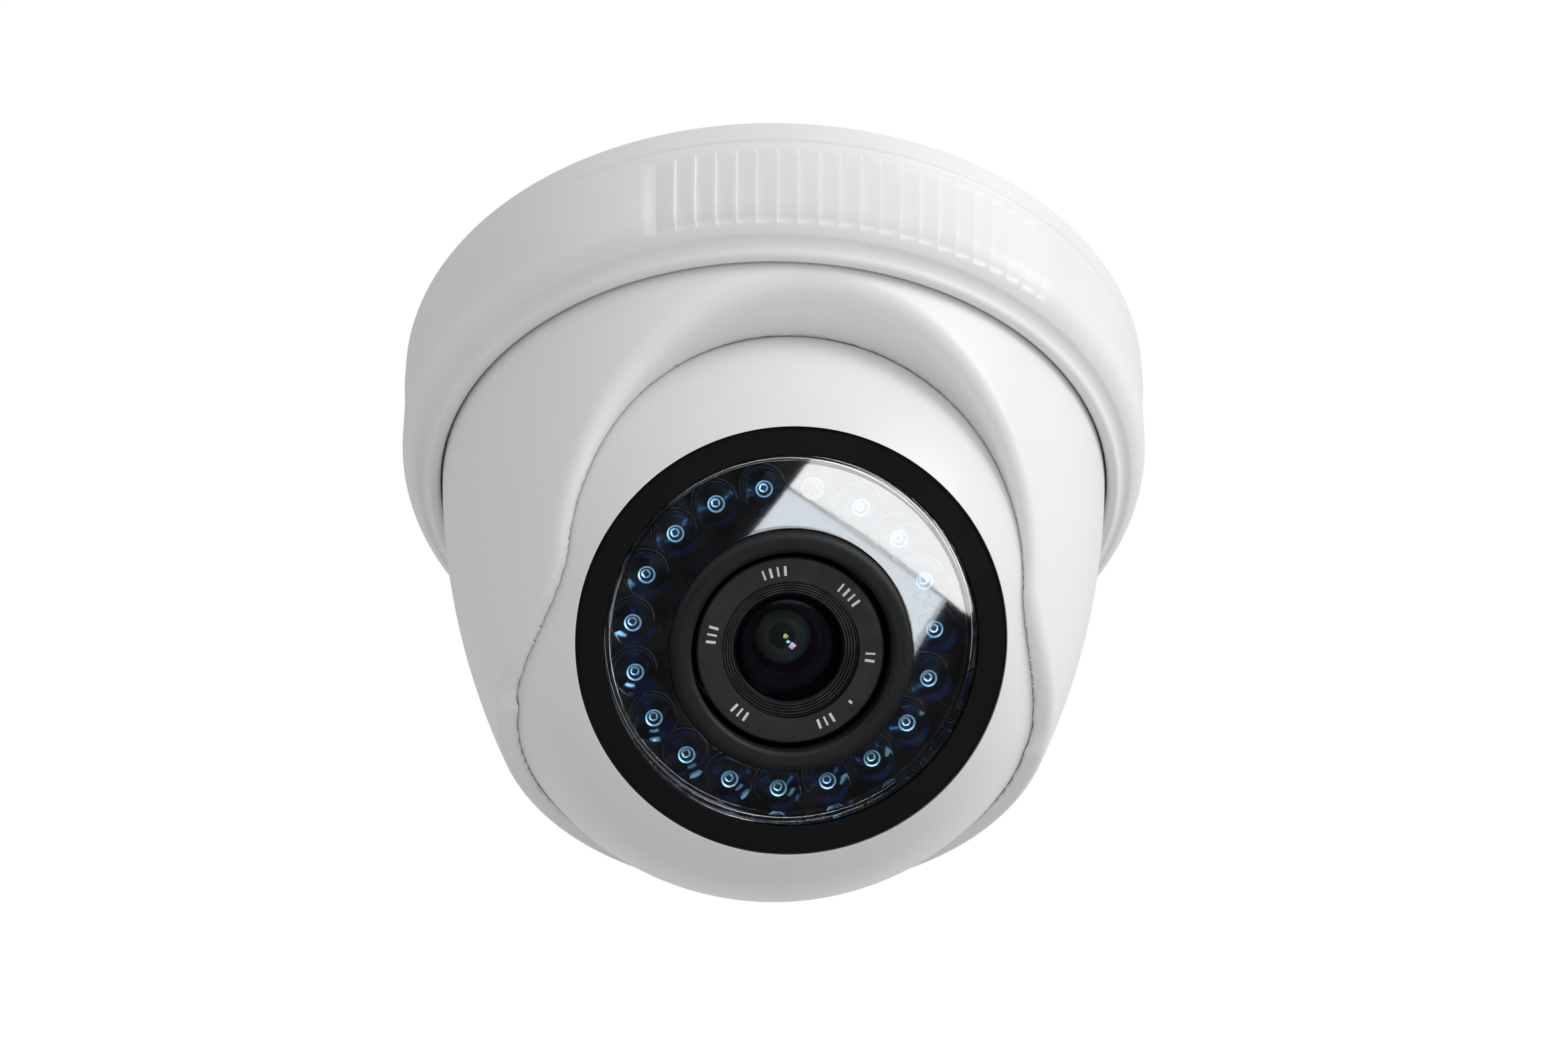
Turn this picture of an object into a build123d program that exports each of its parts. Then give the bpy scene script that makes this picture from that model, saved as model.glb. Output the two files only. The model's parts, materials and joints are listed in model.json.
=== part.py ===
from build123d import *
import os
from math import cos, radians, sin, sqrt

# Ceiling dome camera: a mounting plate, a twist-off trim ring, a collar that pans, and an
# eyeball that tilts in the collar and rolls about its own lens axis.
#
# Frame: origin at the centre of the ceiling face, +Z up into the ceiling, so the camera hangs
# in -Z. The arch of the collar opens toward -Y, and the lens looks out of it, down and forward.
# All sizes are in millimetres.

# ---------------------------------------------------------------- driving dimensions
# Ball and the way it looks at rest
BALL_R = 35.55
BALL_Z = -37.2
BALL_WALL = 2.25
AIM = 48.5                # lens axis below the horizontal
BALL_GAP = 0.3            # between the ball and what holds it

# Mounting plate
PLATE_R = 43.9
PLATE_T = 2.2
SKIRT_R = 42.9
SKIRT_IN_R = 41.2
SKIRT_Z = -14.5
CABLE_HOLE_R = 10.5
SCREW_PCD_R = 32.0
SCREW_HOLE_R = 2.2
LUG_R = 44.5
LUG_Z = -8.6
LUG_T = 1.8
LUG_ARC = 24.0
LUG_COUNT = 3

# Trim ring
RING_TOP_Z = -0.3
RING_R = 46.95
RING_WALL_R = 46.6        # below the step, where the wall turns into the shoulder
RING_STEP_Z = -3.7
RING_BORE_R = 45.0
RING_NECK_R = 43.5
RING_NECK_Z = -10.5
RING_SEAT_Z = -16.7
RING_MOUTH_R = 41.75
SHOULDER_Z = -12.9
SHOULDER_R = 5.7
RIB_TOP_Z = -5.2
RIB_FOOT_Z = -15.9
RIB_PITCH = 3.05          # degrees
RIB_COUNT = 20
RIB_START = -25.3         # degrees from the front, toward +X
RIB_DEPTH = 0.9

# Collar
COLLAR_TOP_Z = -14.8
COLLAR_FLANGE_R = 43.2
COLLAR_FLANGE_T = 1.6
COLLAR_R = 41.3
COLLAR_TOP = (COLLAR_R, -18.7)
COLLAR_MID = (38.95, -36.0)
COLLAR_FOOT = (33.3, -54.5)
ARCH_R = 26.4
ARCH_Z = -48.2
ARCH_WEB = 1.6
ARCH_FLARE = 8.15
ARCH_LIP = 0.8

# Front of the eyeball, as heights above the ball's centre along the lens axis
SPLIT_H = 4.3             # where the front half meets the rear half
FACE_H = 25.05
BEZEL_R = 25.05
BEZEL_IN_R = 21.8
LENS_DROP = 1.1           # lens and lamps sit this far below the bezel's centre
LAMP_RING_R = 18.0
LAMP_R = 2.5
LAMP_FLANGE_R = 2.8
LAMP_BASE_H = 11.6
LAMP_LENGTH = 8.7
LAMP_COUNT = 18
PHOTOCELL_ANGLE = 84.3
SHROUD_R = 14.2
SHROUD_IN_R = 11.65
SHROUD_H = 26.4
LENS_HEAD_R = 11.0
LENS_GLASS_R = 6.3
THREAD_R = 6.0
STANDOFF_XY = 13.5
REAR_H = -25.6

os.makedirs("parts", exist_ok=True)

# ---------------------------------------------------------------- planes and axes
AIM_DIR = (0, -cos(radians(AIM)), -sin(radians(AIM)))
SIDE_DIR = (0, sin(radians(AIM)), -cos(radians(AIM)))
BALL_CENTRE = (0, 0, BALL_Z)

# facing: X to the right and Y up, as seen from in front of the lens.
# side: X is a radius and Y runs along the lens axis, for turned outlines.
ball_facing = Plane(origin=BALL_CENTRE, x_dir=(1, 0, 0), z_dir=AIM_DIR)
ball_side = Plane(origin=BALL_CENTRE, x_dir=(1, 0, 0), z_dir=SIDE_DIR)
ball_axis = Axis(BALL_CENTRE, AIM_DIR)
lens_centre = ball_facing.from_local_coords((0, -LENS_DROP, 0))
lens_facing = Plane(origin=lens_centre, x_dir=(1, 0, 0), z_dir=AIM_DIR)
lens_side = Plane(origin=lens_centre, x_dir=(1, 0, 0), z_dir=SIDE_DIR)
lens_axis = Axis(lens_centre, AIM_DIR)


def save(builder, name):
    """Label the finished piece and write it as its own STEP file."""
    builder.part.label = name
    export_step(builder.part, f"parts/{name}.step")


def on_sphere(radius, height):
    """The (radius, height) point of a sphere's outline at a height above its centre."""
    return (sqrt(radius**2 - height**2), height)


def turned(outline, plane, axis, mode=Mode.ADD):
    """Turn a closed outline of (radius, height) points about the axis."""
    with BuildSketch(plane, mode=Mode.PRIVATE) as section:
        with BuildLine():
            Polyline(*outline, close=True)
        make_face()
    revolve(section.sketch, axis=axis, mode=mode)


def tube(inner, outer, low, high, plane, axis, mode=Mode.ADD):
    """A plain ring between two radii and two heights."""
    turned([(inner, low), (outer, low), (outer, high), (inner, high)], plane, axis, mode)


def polar(radius, degrees):
    """A point on a circle, with the angle counted from the front (-Y) toward +X."""
    return (radius * sin(radians(degrees)), -radius * cos(radians(degrees)))


def sector(inner, outer, centre, width):
    """A closed outline for a ring sector, seen from above."""
    steps = [centre - width / 2 + width * k / 4 for k in range(5)]
    return [polar(outer, a) for a in steps] + [polar(inner, a) for a in reversed(steps)]


def sector_block(inner, outer, centre, width, top, height, mode=Mode.ADD):
    """A ring sector that hangs down from a height."""
    with BuildSketch(Plane.XY.offset(top - height), mode=Mode.PRIVATE) as block:
        with BuildLine():
            Polyline(*sector(inner, outer, centre, width), close=True)
        make_face()
    extrude(block.sketch, amount=height, mode=mode)


# ---------------------------------------------------------------- mounting plate (fixed)
PAD_R = SCREW_HOLE_R + 2.8
PAD_T = 1.2
STOP_ARC = 6.0
STOP_IN_R = 39.8
LUG_ROOT_R = SKIRT_R - 0.5
LUG_STOP_ARC = 2.5
LUG_STOP_H = 4.2

with BuildPart() as mounting_plate:
    tube(CABLE_HOLE_R, PLATE_R, -PLATE_T, 0, Plane.XZ, Axis.Z)
    tube(SKIRT_IN_R, SKIRT_R, SKIRT_Z, -PLATE_T, Plane.XZ, Axis.Z)
    with BuildSketch(Plane.XY.offset(-PLATE_T - PAD_T)):
        with PolarLocations(SCREW_PCD_R, LUG_COUNT, start_angle=30):
            Circle(PAD_R)
    extrude(amount=PAD_T)
    with BuildSketch(Plane.XY.offset(-PLATE_T - PAD_T)):
        with PolarLocations(SCREW_PCD_R, LUG_COUNT, start_angle=30):
            Circle(SCREW_HOLE_R)
    extrude(amount=PLATE_T + PAD_T, mode=Mode.SUBTRACT)
    for k in range(LUG_COUNT):
        lug_angle = 60 + 120 * k
        sector_block(LUG_ROOT_R, LUG_R, lug_angle, LUG_ARC, LUG_Z + LUG_T, LUG_T)
        # A stop at the end of each lug, which the ring's lug meets when it is locked.
        stop_angle = lug_angle - LUG_ARC / 2 - 1
        sector_block(LUG_ROOT_R, LUG_R, stop_angle, LUG_STOP_ARC, LUG_Z + LUG_STOP_H, LUG_STOP_H)
    # The stop that ends the collar's pan, opposite the tab on the collar.
    sector_block(STOP_IN_R, SKIRT_IN_R + 0.4, 0, STOP_ARC, -PLATE_T, -SKIRT_Z - PLATE_T)
save(mounting_plate, "mounting_plate")

GROMMET_BORE_R = 7.5
GROMMET_BORE_T = 1.3      # the straight part of the hole, clear of the ball at every tilt
GROMMET_NECK_R = CABLE_HOLE_R - 0.05
GROMMET_FLANGE_R = 12.4
GROMMET_FLANGE_T = 0.55

with BuildPart() as cable_grommet:
    flange_z = -PLATE_T - 0.05
    turned(
        [
            (GROMMET_BORE_R, 0),
            (GROMMET_NECK_R, 0),
            (GROMMET_NECK_R, flange_z),
            (GROMMET_FLANGE_R, flange_z),
            (GROMMET_FLANGE_R, flange_z - GROMMET_FLANGE_T),
            (9.9, flange_z - GROMMET_FLANGE_T),
            (GROMMET_BORE_R, -GROMMET_BORE_T),
        ],
        Plane.XZ,
        Axis.Z,
    )
save(cable_grommet, "cable_grommet")

# ---------------------------------------------------------------- trim ring (twists to lock)
SHOULDER_END = 50.0       # degrees of the outer round before the cove starts
CREST_OUT = (43.1, -18.75)
CREST_MID = (42.4, -19.2)
CREST_IN = (RING_MOUTH_R, -18.45)
COVE_MID = (43.65, -17.83)
FLUTE_TOP_DEPTH = 0.2
FLUTE_FOOT_DEPTH = 1.2
RING_LUG_IN_R = 43.3
RING_LUG_T = 1.8
shoulder_centre = (RING_WALL_R - SHOULDER_R, SHOULDER_Z)


def shoulder_point(degrees):
    """A point of the ring's outer round, at an angle below the horizontal."""
    return (
        shoulder_centre[0] + SHOULDER_R * cos(radians(degrees)),
        shoulder_centre[1] - SHOULDER_R * sin(radians(degrees)),
    )


with BuildPart() as trim_ring:
    with BuildSketch(Plane.XZ):
        with BuildLine():
            Polyline(
                shoulder_point(0),
                (RING_WALL_R + 0.12, RING_STEP_Z - 0.15),
                (RING_R - 0.03, RING_STEP_Z),
                (RING_R, RING_TOP_Z - 0.5),
                (RING_R - 0.5, RING_TOP_Z),
                (RING_BORE_R, RING_TOP_Z),
                (RING_BORE_R, RING_NECK_Z),
                (RING_NECK_R, RING_NECK_Z),
                (RING_NECK_R, RING_SEAT_Z),
                (RING_MOUTH_R, RING_SEAT_Z),
                CREST_IN,
            )
            ThreePointArc(CREST_IN, CREST_MID, CREST_OUT)
            ThreePointArc(CREST_OUT, COVE_MID, shoulder_point(SHOULDER_END))
            ThreePointArc(
                shoulder_point(SHOULDER_END), shoulder_point(SHOULDER_END / 2), shoulder_point(0)
            )
        make_face()
    revolve(axis=Axis.Z)
    for k in range(LUG_COUNT):
        lug_top_z = LUG_Z + LUG_T + RING_LUG_T + 0.2
        sector_block(
            RING_LUG_IN_R, RING_BORE_R + 0.3, 60 + 120 * k, LUG_ARC - 2, lug_top_z, RING_LUG_T
        )

    # Saw-tooth grip ribs in two opposite groups. Each flute has one steep side and one slope,
    # and its floor leans inward toward the foot, so the ribs grow from nothing to full width.
    flute_top_r = RING_WALL_R - FLUTE_TOP_DEPTH
    flute_foot_r = RING_WALL_R - FLUTE_FOOT_DEPTH
    clear_r = RING_R + 2
    with BuildSketch(Plane.XZ, mode=Mode.PRIVATE) as flute_zone:
        with BuildLine():
            Polyline(
                (flute_top_r, RIB_TOP_Z),
                (clear_r, RIB_TOP_Z),
                (clear_r, RIB_FOOT_Z),
                (flute_foot_r, RIB_FOOT_Z),
                close=True,
            )
        make_face()
    flutes = revolve(flute_zone.sketch, axis=Axis.Z, mode=Mode.PRIVATE)
    with BuildSketch(Plane.XY.offset(RIB_FOOT_Z), mode=Mode.PRIVATE) as teeth:
        for group in (0, 180):
            for k in range(RIB_COUNT):
                start = group + RIB_START + RIB_PITCH * k
                with BuildLine():
                    Polyline(
                        polar(RING_WALL_R + 0.1, start + RIB_PITCH),
                        polar(RING_WALL_R - RIB_DEPTH, start),
                        polar(clear_r + 1, start),
                        polar(clear_r + 1, start + RIB_PITCH),
                        close=True,
                    )
                make_face()
    tooth_prisms = extrude(teeth.sketch, amount=RIB_TOP_Z - RIB_FOOT_Z, mode=Mode.PRIVATE)
    add(flutes & tooth_prisms, mode=Mode.SUBTRACT)
save(trim_ring, "trim_ring")

# ---------------------------------------------------------------- collar (pans)
PIN_R = 2.0
PIN_END = 37.1
SLOT_R = 37.35
CLAMP_Z = -18.6
CLAMP_T = 2.0
CLAMP_SCREW_R = 36.7
CLAMP_SCREWS = 4
BOSS_FOOT_Z = -26.4
PILOT_FOOT_Z = -26.0
TAB_IN_R = 39.4
TAB_OUT_R = 40.6
COVER_T = 2.0
RIM_MID = (32.45, -56.1)
SOCKET_R = BALL_R + BALL_GAP
BELOW_COLLAR_Z = -70.0
PAST_COLLAR = 60.0
rim_inner = on_sphere(SOCKET_R, -17.3)
socket_mid = on_sphere(SOCKET_R, -9.0)


def inset(point):
    """A point of the cover's outline, moved in to the middle of its wall."""
    return (point[0] - COVER_T / 2, point[1])


with BuildPart() as collar_cover:
    with BuildSketch(Plane.XZ):
        with BuildLine():
            ThreePointArc(COLLAR_TOP, COLLAR_MID, COLLAR_FOOT)
            ThreePointArc(COLLAR_FOOT, RIM_MID, (rim_inner[0], BALL_Z + rim_inner[1]))
            ThreePointArc(
                (rim_inner[0], BALL_Z + rim_inner[1]),
                (socket_mid[0], BALL_Z + socket_mid[1]),
                (SOCKET_R, BALL_Z),
            )
            Polyline(
                (SOCKET_R, BALL_Z),
                (SOCKET_R, -33.5),
                (37.6, -30.0),
                (38.9, -21.0),
                (39.2, COLLAR_TOP_Z),
                (COLLAR_FLANGE_R, COLLAR_TOP_Z),
                (COLLAR_FLANGE_R, COLLAR_TOP_Z - COLLAR_FLANGE_T),
                (COLLAR_R + 0.05, COLLAR_TOP_Z - COLLAR_FLANGE_T),
                COLLAR_TOP,
            )
        make_face()
    revolve(axis=Axis.Z)

    # Bosses for the clamp ring's screws, and the tab that meets the pan stop.
    with BuildSketch(Plane.XY.offset(BOSS_FOOT_Z)):
        with PolarLocations(CLAMP_SCREW_R, CLAMP_SCREWS, start_angle=45):
            Circle(2.3)
    extrude(amount=CLAMP_Z - BOSS_FOOT_Z)
    with BuildSketch(Plane.XY.offset(PILOT_FOOT_Z)):
        with PolarLocations(CLAMP_SCREW_R, CLAMP_SCREWS, start_angle=45):
            Circle(1.15)
    extrude(amount=CLAMP_Z - PILOT_FOOT_Z, mode=Mode.SUBTRACT)
    sector_block(TAB_IN_R, TAB_OUT_R, 180, STOP_ARC, COLLAR_TOP_Z + 2.2, 3.0)

    # Slots that the ball's pivot pins drop into from above.
    with BuildSketch(Plane.YZ.offset(-SLOT_R)):
        with Locations((0, BALL_Z)):
            Circle(PIN_R + 0.08)
        with Locations((0, BALL_Z + 4)):
            Rectangle(2 * PIN_R + 0.16, 8)
    extrude(amount=2 * SLOT_R, mode=Mode.SUBTRACT)

    # The arch: a level half-round tunnel whose sides flare out into the rim. Its wall is a
    # web that reaches in from the cover to the ball.
    with BuildSketch(Plane.XZ, mode=Mode.PRIVATE) as web:
        with BuildLine():
            CenterArc((0, ARCH_Z), ARCH_R + ARCH_WEB, 0, 180)
            Line((-ARCH_R - ARCH_WEB, ARCH_Z), (-ARCH_R + 1, ARCH_Z))
            CenterArc((0, ARCH_Z), ARCH_R - 1, 0, 180)
            Line((ARCH_R - 1, ARCH_Z), (ARCH_R + ARCH_WEB, ARCH_Z))
        make_face()
    web_tunnel = extrude(web.sketch, amount=PAST_COLLAR, mode=Mode.PRIVATE)
    with BuildSketch(Plane.XZ, mode=Mode.PRIVATE) as cover_section:
        with BuildLine():
            ThreePointArc(inset(COLLAR_TOP), inset(COLLAR_MID), inset(COLLAR_FOOT))
            Polyline(inset(COLLAR_FOOT), (0, COLLAR_FOOT[1]), (0, COLLAR_TOP[1]), inset(COLLAR_TOP))
        make_face()
    cover_solid = revolve(cover_section.sketch, axis=Axis.Z, mode=Mode.PRIVATE)
    ball_space = Pos(0, 0, BALL_Z) * Sphere(SOCKET_R, mode=Mode.PRIVATE)
    add((web_tunnel & cover_solid) - ball_space)
    with BuildSketch(Plane.XZ):
        with BuildLine():
            ThreePointArc((-ARCH_R, ARCH_Z), (0, ARCH_Z + ARCH_R), (ARCH_R, ARCH_Z))
            RadiusArc((ARCH_R, ARCH_Z), (ARCH_R + ARCH_FLARE, ARCH_Z - ARCH_FLARE), -ARCH_FLARE)
            Polyline(
                (ARCH_R + ARCH_FLARE, ARCH_Z - ARCH_FLARE),
                (ARCH_R + ARCH_FLARE, BELOW_COLLAR_Z),
                (-ARCH_R - ARCH_FLARE, BELOW_COLLAR_Z),
                (-ARCH_R - ARCH_FLARE, ARCH_Z - ARCH_FLARE),
            )
            RadiusArc((-ARCH_R - ARCH_FLARE, ARCH_Z - ARCH_FLARE), (-ARCH_R, ARCH_Z), -ARCH_FLARE)
        make_face()
    extrude(amount=PAST_COLLAR, mode=Mode.SUBTRACT)
    arch_lip = edges().filter_by(GeomType.BSPLINE).sort_by(Axis.Y)[0]
    fillet(arch_lip, radius=ARCH_LIP)
save(collar_cover, "collar_cover")

with BuildPart() as clamp_ring:
    tube(32.4, 38.3, CLAMP_Z, CLAMP_Z + CLAMP_T, Plane.XZ, Axis.Z)
    with BuildSketch(Plane.XY.offset(CLAMP_Z)):
        with PolarLocations(CLAMP_SCREW_R, CLAMP_SCREWS, start_angle=45):
            Circle(1.25)
    extrude(amount=CLAMP_T, mode=Mode.SUBTRACT)
    # Two tongues reach down the slots and close the pins in.
    with BuildSketch(Plane.XY.offset(BALL_Z + PIN_R + 0.1)):
        with Locations((36.6, 0), (-36.6, 0)):
            Rectangle(1.2, 2 * PIN_R - 0.2)
    extrude(amount=CLAMP_Z - BALL_Z - PIN_R)
save(clamp_ring, "clamp_ring")

with BuildPart() as clamp_screws:
    with BuildSketch(Plane.XY.offset(PILOT_FOOT_Z + 0.6)):
        with PolarLocations(CLAMP_SCREW_R, CLAMP_SCREWS, start_angle=45):
            Circle(1.1)
    extrude(amount=CLAMP_Z + CLAMP_T - PILOT_FOOT_Z - 0.6)
    with BuildSketch(Plane.XY.offset(CLAMP_Z + CLAMP_T)):
        with PolarLocations(CLAMP_SCREW_R, CLAMP_SCREWS, start_angle=45):
            Circle(1.6)
    extrude(amount=1.3)
save(clamp_screws, "clamp_screws")

FRICTION_OUT_R = 34.2
FRICTION_T = 1.3

with BuildPart() as friction_ring:
    turned(
        [
            (31.3, CLAMP_Z - FRICTION_T),
            (FRICTION_OUT_R, CLAMP_Z - FRICTION_T),
            (FRICTION_OUT_R, CLAMP_Z),
            (30.65, CLAMP_Z),
        ],
        Plane.XZ,
        Axis.Z,
    )
save(friction_ring, "friction_ring")

# ---------------------------------------------------------------- rear half of the ball (tilts)
SHELL_IN_R = BALL_R - BALL_WALL
WEB_IN_R = 27.5
WEB_LOW_H = -4.6
WEB_HIGH_H = -3.2
REAR_HOLE_R = 6.0
REAR_WALL = 2.0
SPLIT_IN_R = 33.15
PIN_ROOT = 34.2

with BuildPart() as rear_shell:
    with BuildSketch(ball_side):
        with BuildLine():
            split = on_sphere(BALL_R, SPLIT_H - 0.25)
            rear = on_sphere(BALL_R, REAR_H)
            rear_in = on_sphere(SHELL_IN_R, REAR_H + REAR_WALL)
            web_low = on_sphere(SHELL_IN_R, WEB_LOW_H)
            Line((SPLIT_IN_R, split[1]), split)
            ThreePointArc(split, on_sphere(BALL_R, -12), rear)
            Polyline(rear, (REAR_HOLE_R, REAR_H), (REAR_HOLE_R, REAR_H + REAR_WALL), rear_in)
            ThreePointArc(rear_in, on_sphere(SHELL_IN_R, -15), web_low)
            Polyline(
                web_low,
                (WEB_IN_R, WEB_LOW_H),
                (WEB_IN_R, WEB_HIGH_H),
                (SPLIT_IN_R, WEB_HIGH_H),
                (SPLIT_IN_R, split[1]),
            )
        make_face()
    revolve(axis=ball_axis)
    with BuildSketch(Plane.YZ.offset(-PIN_END)):
        with Locations((0, BALL_Z)):
            Circle(PIN_R)
    extrude(amount=PIN_END - PIN_ROOT)
    with BuildSketch(Plane.YZ.offset(PIN_ROOT)):
        with Locations((0, BALL_Z)):
            Circle(PIN_R)
    extrude(amount=PIN_END - PIN_ROOT)
save(rear_shell, "rear_shell")

with BuildPart() as rear_grommet:
    turned(
        [
            (3.4, REAR_H - 1.2),
            (7.6, REAR_H - 1.2),
            (7.6, REAR_H),
            (REAR_HOLE_R, REAR_H),
            (REAR_HOLE_R, REAR_H + REAR_WALL),
            (7.4, REAR_H + REAR_WALL),
            (7.4, REAR_H + REAR_WALL + 1.2),
            (3.4, REAR_H + REAR_WALL + 1.2),
        ],
        ball_side,
        ball_axis,
    )
save(rear_grommet, "rear_grommet")

# ---------------------------------------------------------------- front half of the ball (rolls)
SPIGOT_IN_R = 31.2
SPIGOT_R = 32.95
SPIGOT_LOW_H = -3.0
SPIGOT_FLANGE_R = 23.6
SWIVEL_SCREW_R = 25.4
SWIVEL_SCREWS = 4
LEDGE_H = 22.2
LEDGE_R = 23.4

with BuildPart() as front_shell:
    with BuildSketch(ball_side):
        with BuildLine():
            lip = on_sphere(BALL_R, FACE_H)
            split = on_sphere(BALL_R, SPLIT_H)
            ledge_in = on_sphere(SHELL_IN_R, LEDGE_H - 1.6)
            shell_low = on_sphere(SHELL_IN_R, SPLIT_H + 2.2)
            ThreePointArc(split, on_sphere(BALL_R, 15), lip)
            Polyline(
                lip,
                (BEZEL_R + 0.1, FACE_H),
                (BEZEL_R + 0.1, LEDGE_H),
                (LEDGE_R, LEDGE_H),
                (LEDGE_R, LEDGE_H - 1.6),
                ledge_in,
            )
            ThreePointArc(ledge_in, on_sphere(SHELL_IN_R, 13), shell_low)
            Polyline(
                shell_low,
                (SPIGOT_IN_R, SPLIT_H + 2.2),
                (SPIGOT_IN_R, -1.2),
                (SPIGOT_FLANGE_R, -1.2),
                (SPIGOT_FLANGE_R, SPIGOT_LOW_H),
                (SPIGOT_R, SPIGOT_LOW_H),
                (SPIGOT_R, SPLIT_H),
                split,
            )
        make_face()
    revolve(axis=ball_axis)
    with BuildSketch(ball_facing.offset(WEB_LOW_H - 0.15)):
        with PolarLocations(SWIVEL_SCREW_R, SWIVEL_SCREWS, start_angle=45):
            Circle(1.75)
    extrude(amount=SPIGOT_LOW_H - WEB_LOW_H + 0.65)
    with BuildSketch(ball_facing.offset(WEB_LOW_H - 0.15)):
        with PolarLocations(SWIVEL_SCREW_R, SWIVEL_SCREWS, start_angle=45):
            Circle(1.0)
    extrude(amount=4.0, mode=Mode.SUBTRACT)
save(front_shell, "front_shell")

with BuildPart() as swivel_retainer:
    tube(23.4, 30.8, WEB_LOW_H - 1.7, WEB_LOW_H - 0.15, ball_side, ball_axis)
    with BuildSketch(ball_facing.offset(WEB_LOW_H - 1.7)):
        with PolarLocations(SWIVEL_SCREW_R, SWIVEL_SCREWS, start_angle=45):
            Circle(1.0)
    extrude(amount=1.6, mode=Mode.SUBTRACT)
save(swivel_retainer, "swivel_retainer")

with BuildPart() as swivel_screws:
    with BuildSketch(ball_facing.offset(WEB_LOW_H - 1.7)):
        with PolarLocations(SWIVEL_SCREW_R, SWIVEL_SCREWS, start_angle=45):
            Circle(0.95)
    extrude(amount=5.2)
    with BuildSketch(ball_facing.offset(WEB_LOW_H - 3.0)):
        with PolarLocations(SWIVEL_SCREW_R, SWIVEL_SCREWS, start_angle=45):
            Circle(1.8)
    extrude(amount=1.3)
save(swivel_screws, "swivel_screws")

with BuildPart() as window_gasket:
    tube(LEDGE_R + 0.1, BEZEL_R - 0.1, LEDGE_H, LEDGE_H + 0.55, ball_side, ball_axis)
save(window_gasket, "window_gasket")

with BuildPart() as bezel_ring:
    turned(
        [
            (BEZEL_IN_R, LEDGE_H + 0.55),
            (BEZEL_R, LEDGE_H + 0.55),
            (BEZEL_R, FACE_H - 0.35),
            (BEZEL_R - 0.25, FACE_H - 0.1),
            (BEZEL_IN_R + 0.1, FACE_H - 0.1),
            (BEZEL_IN_R, FACE_H - 0.2),
        ],
        ball_side,
        ball_axis,
    )
save(bezel_ring, "bezel_ring")

WINDOW_R = BEZEL_IN_R - 0.03
WINDOW_H = FACE_H - 0.35
WINDOW_T = 1.5

with BuildPart() as front_window:
    tube(0, WINDOW_R, WINDOW_H - WINDOW_T, WINDOW_H, ball_side, ball_axis)
    tube(WINDOW_R - 0.8, WINDOW_R - 0.1, 20.2, WINDOW_H - WINDOW_T, ball_side, ball_axis)
    with BuildSketch(lens_facing.offset(WINDOW_H - WINDOW_T)):
        Circle(SHROUD_R + 0.05)
    extrude(amount=WINDOW_T, mode=Mode.SUBTRACT)
save(front_window, "front_window")

# ---------------------------------------------------------------- lamps and their board
LED_SPACING = 360 / (LAMP_COUNT + 1)
FIRST_LAMP = PHOTOCELL_ANGLE + LED_SPACING
LAMP_SWEEP = LED_SPACING * LAMP_COUNT
BOARD_T = 1.6
BOARD_R = 24.2
CUP_FLOOR_T = 1.0
CUP_FLOOR_H = LAMP_BASE_H - CUP_FLOOR_T
LED_BOARD_LOW_H = CUP_FLOOR_H - BOARD_T
CUP_R = 23.2
BOSS_R = 22.0
BOSS_ANGLES = [PHOTOCELL_ANGLE + LED_SPACING * (k + 0.5) for k in (3, 9, 15)]
BOSS_PLACES = [(BOSS_R * cos(radians(a)), BOSS_R * sin(radians(a))) for a in BOSS_ANGLES]
POST_R = 1.0
POST_LENGTH = 2.8
PHOTOCELL_R = 1.65
PHOTOCELL_T = 2.3
PHOTOCELL_PLACE = (
    LAMP_RING_R * cos(radians(PHOTOCELL_ANGLE)),
    LAMP_RING_R * sin(radians(PHOTOCELL_ANGLE)),
)

with BuildPart() as led_holder:
    tube(0, CUP_R - 0.4, CUP_FLOOR_H, CUP_FLOOR_H + CUP_FLOOR_T, ball_side, ball_axis)
    tube(CUP_R - 1.2, CUP_R, CUP_FLOOR_H, LEDGE_H, ball_side, ball_axis)
    with BuildSketch(lens_facing.offset(LAMP_BASE_H - 0.3)):
        with Locations(*BOSS_PLACES):
            Circle(1.6)
    extrude(amount=2.3)
    with BuildSketch(lens_facing.offset(CUP_FLOOR_H)):
        Circle(SHROUD_IN_R)
        with PolarLocations(LAMP_RING_R, LAMP_COUNT, FIRST_LAMP, LAMP_SWEEP):
            Circle(POST_R + 0.1)
        with Locations(PHOTOCELL_PLACE):
            Circle(POST_R + 0.1)
    extrude(amount=CUP_FLOOR_T, mode=Mode.SUBTRACT)
    with BuildSketch(lens_facing.offset(CUP_FLOOR_H)):
        with Locations(*BOSS_PLACES):
            Circle(0.85)
    extrude(amount=2.4, mode=Mode.SUBTRACT)
save(led_holder, "led_holder")

with BuildPart() as led_board:
    tube(11.3, BOARD_R, LED_BOARD_LOW_H, CUP_FLOOR_H, lens_side, lens_axis)
    with BuildSketch(lens_facing.offset(LED_BOARD_LOW_H)):
        with Locations(*BOSS_PLACES):
            Circle(0.95)
    extrude(amount=BOARD_T, mode=Mode.SUBTRACT)
save(led_board, "led_board")

with BuildPart() as led_board_screws:
    with BuildSketch(lens_facing.offset(LED_BOARD_LOW_H)):
        with Locations(*BOSS_PLACES):
            Circle(0.8)
    extrude(amount=3.4)
    with BuildSketch(lens_facing.offset(LED_BOARD_LOW_H - 1.2)):
        with Locations(*BOSS_PLACES):
            Circle(1.5)
    extrude(amount=1.2)
save(led_board_screws, "led_board_screws")

# One lamp is a clear dome with a flange and a straight body. Its flange rests on the cup's floor,
# and its leadframe stands on the board, passes the floor and fills a pocket in the lamp.
LAMP_TIP_H = LAMP_BASE_H + LAMP_LENGTH

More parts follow.
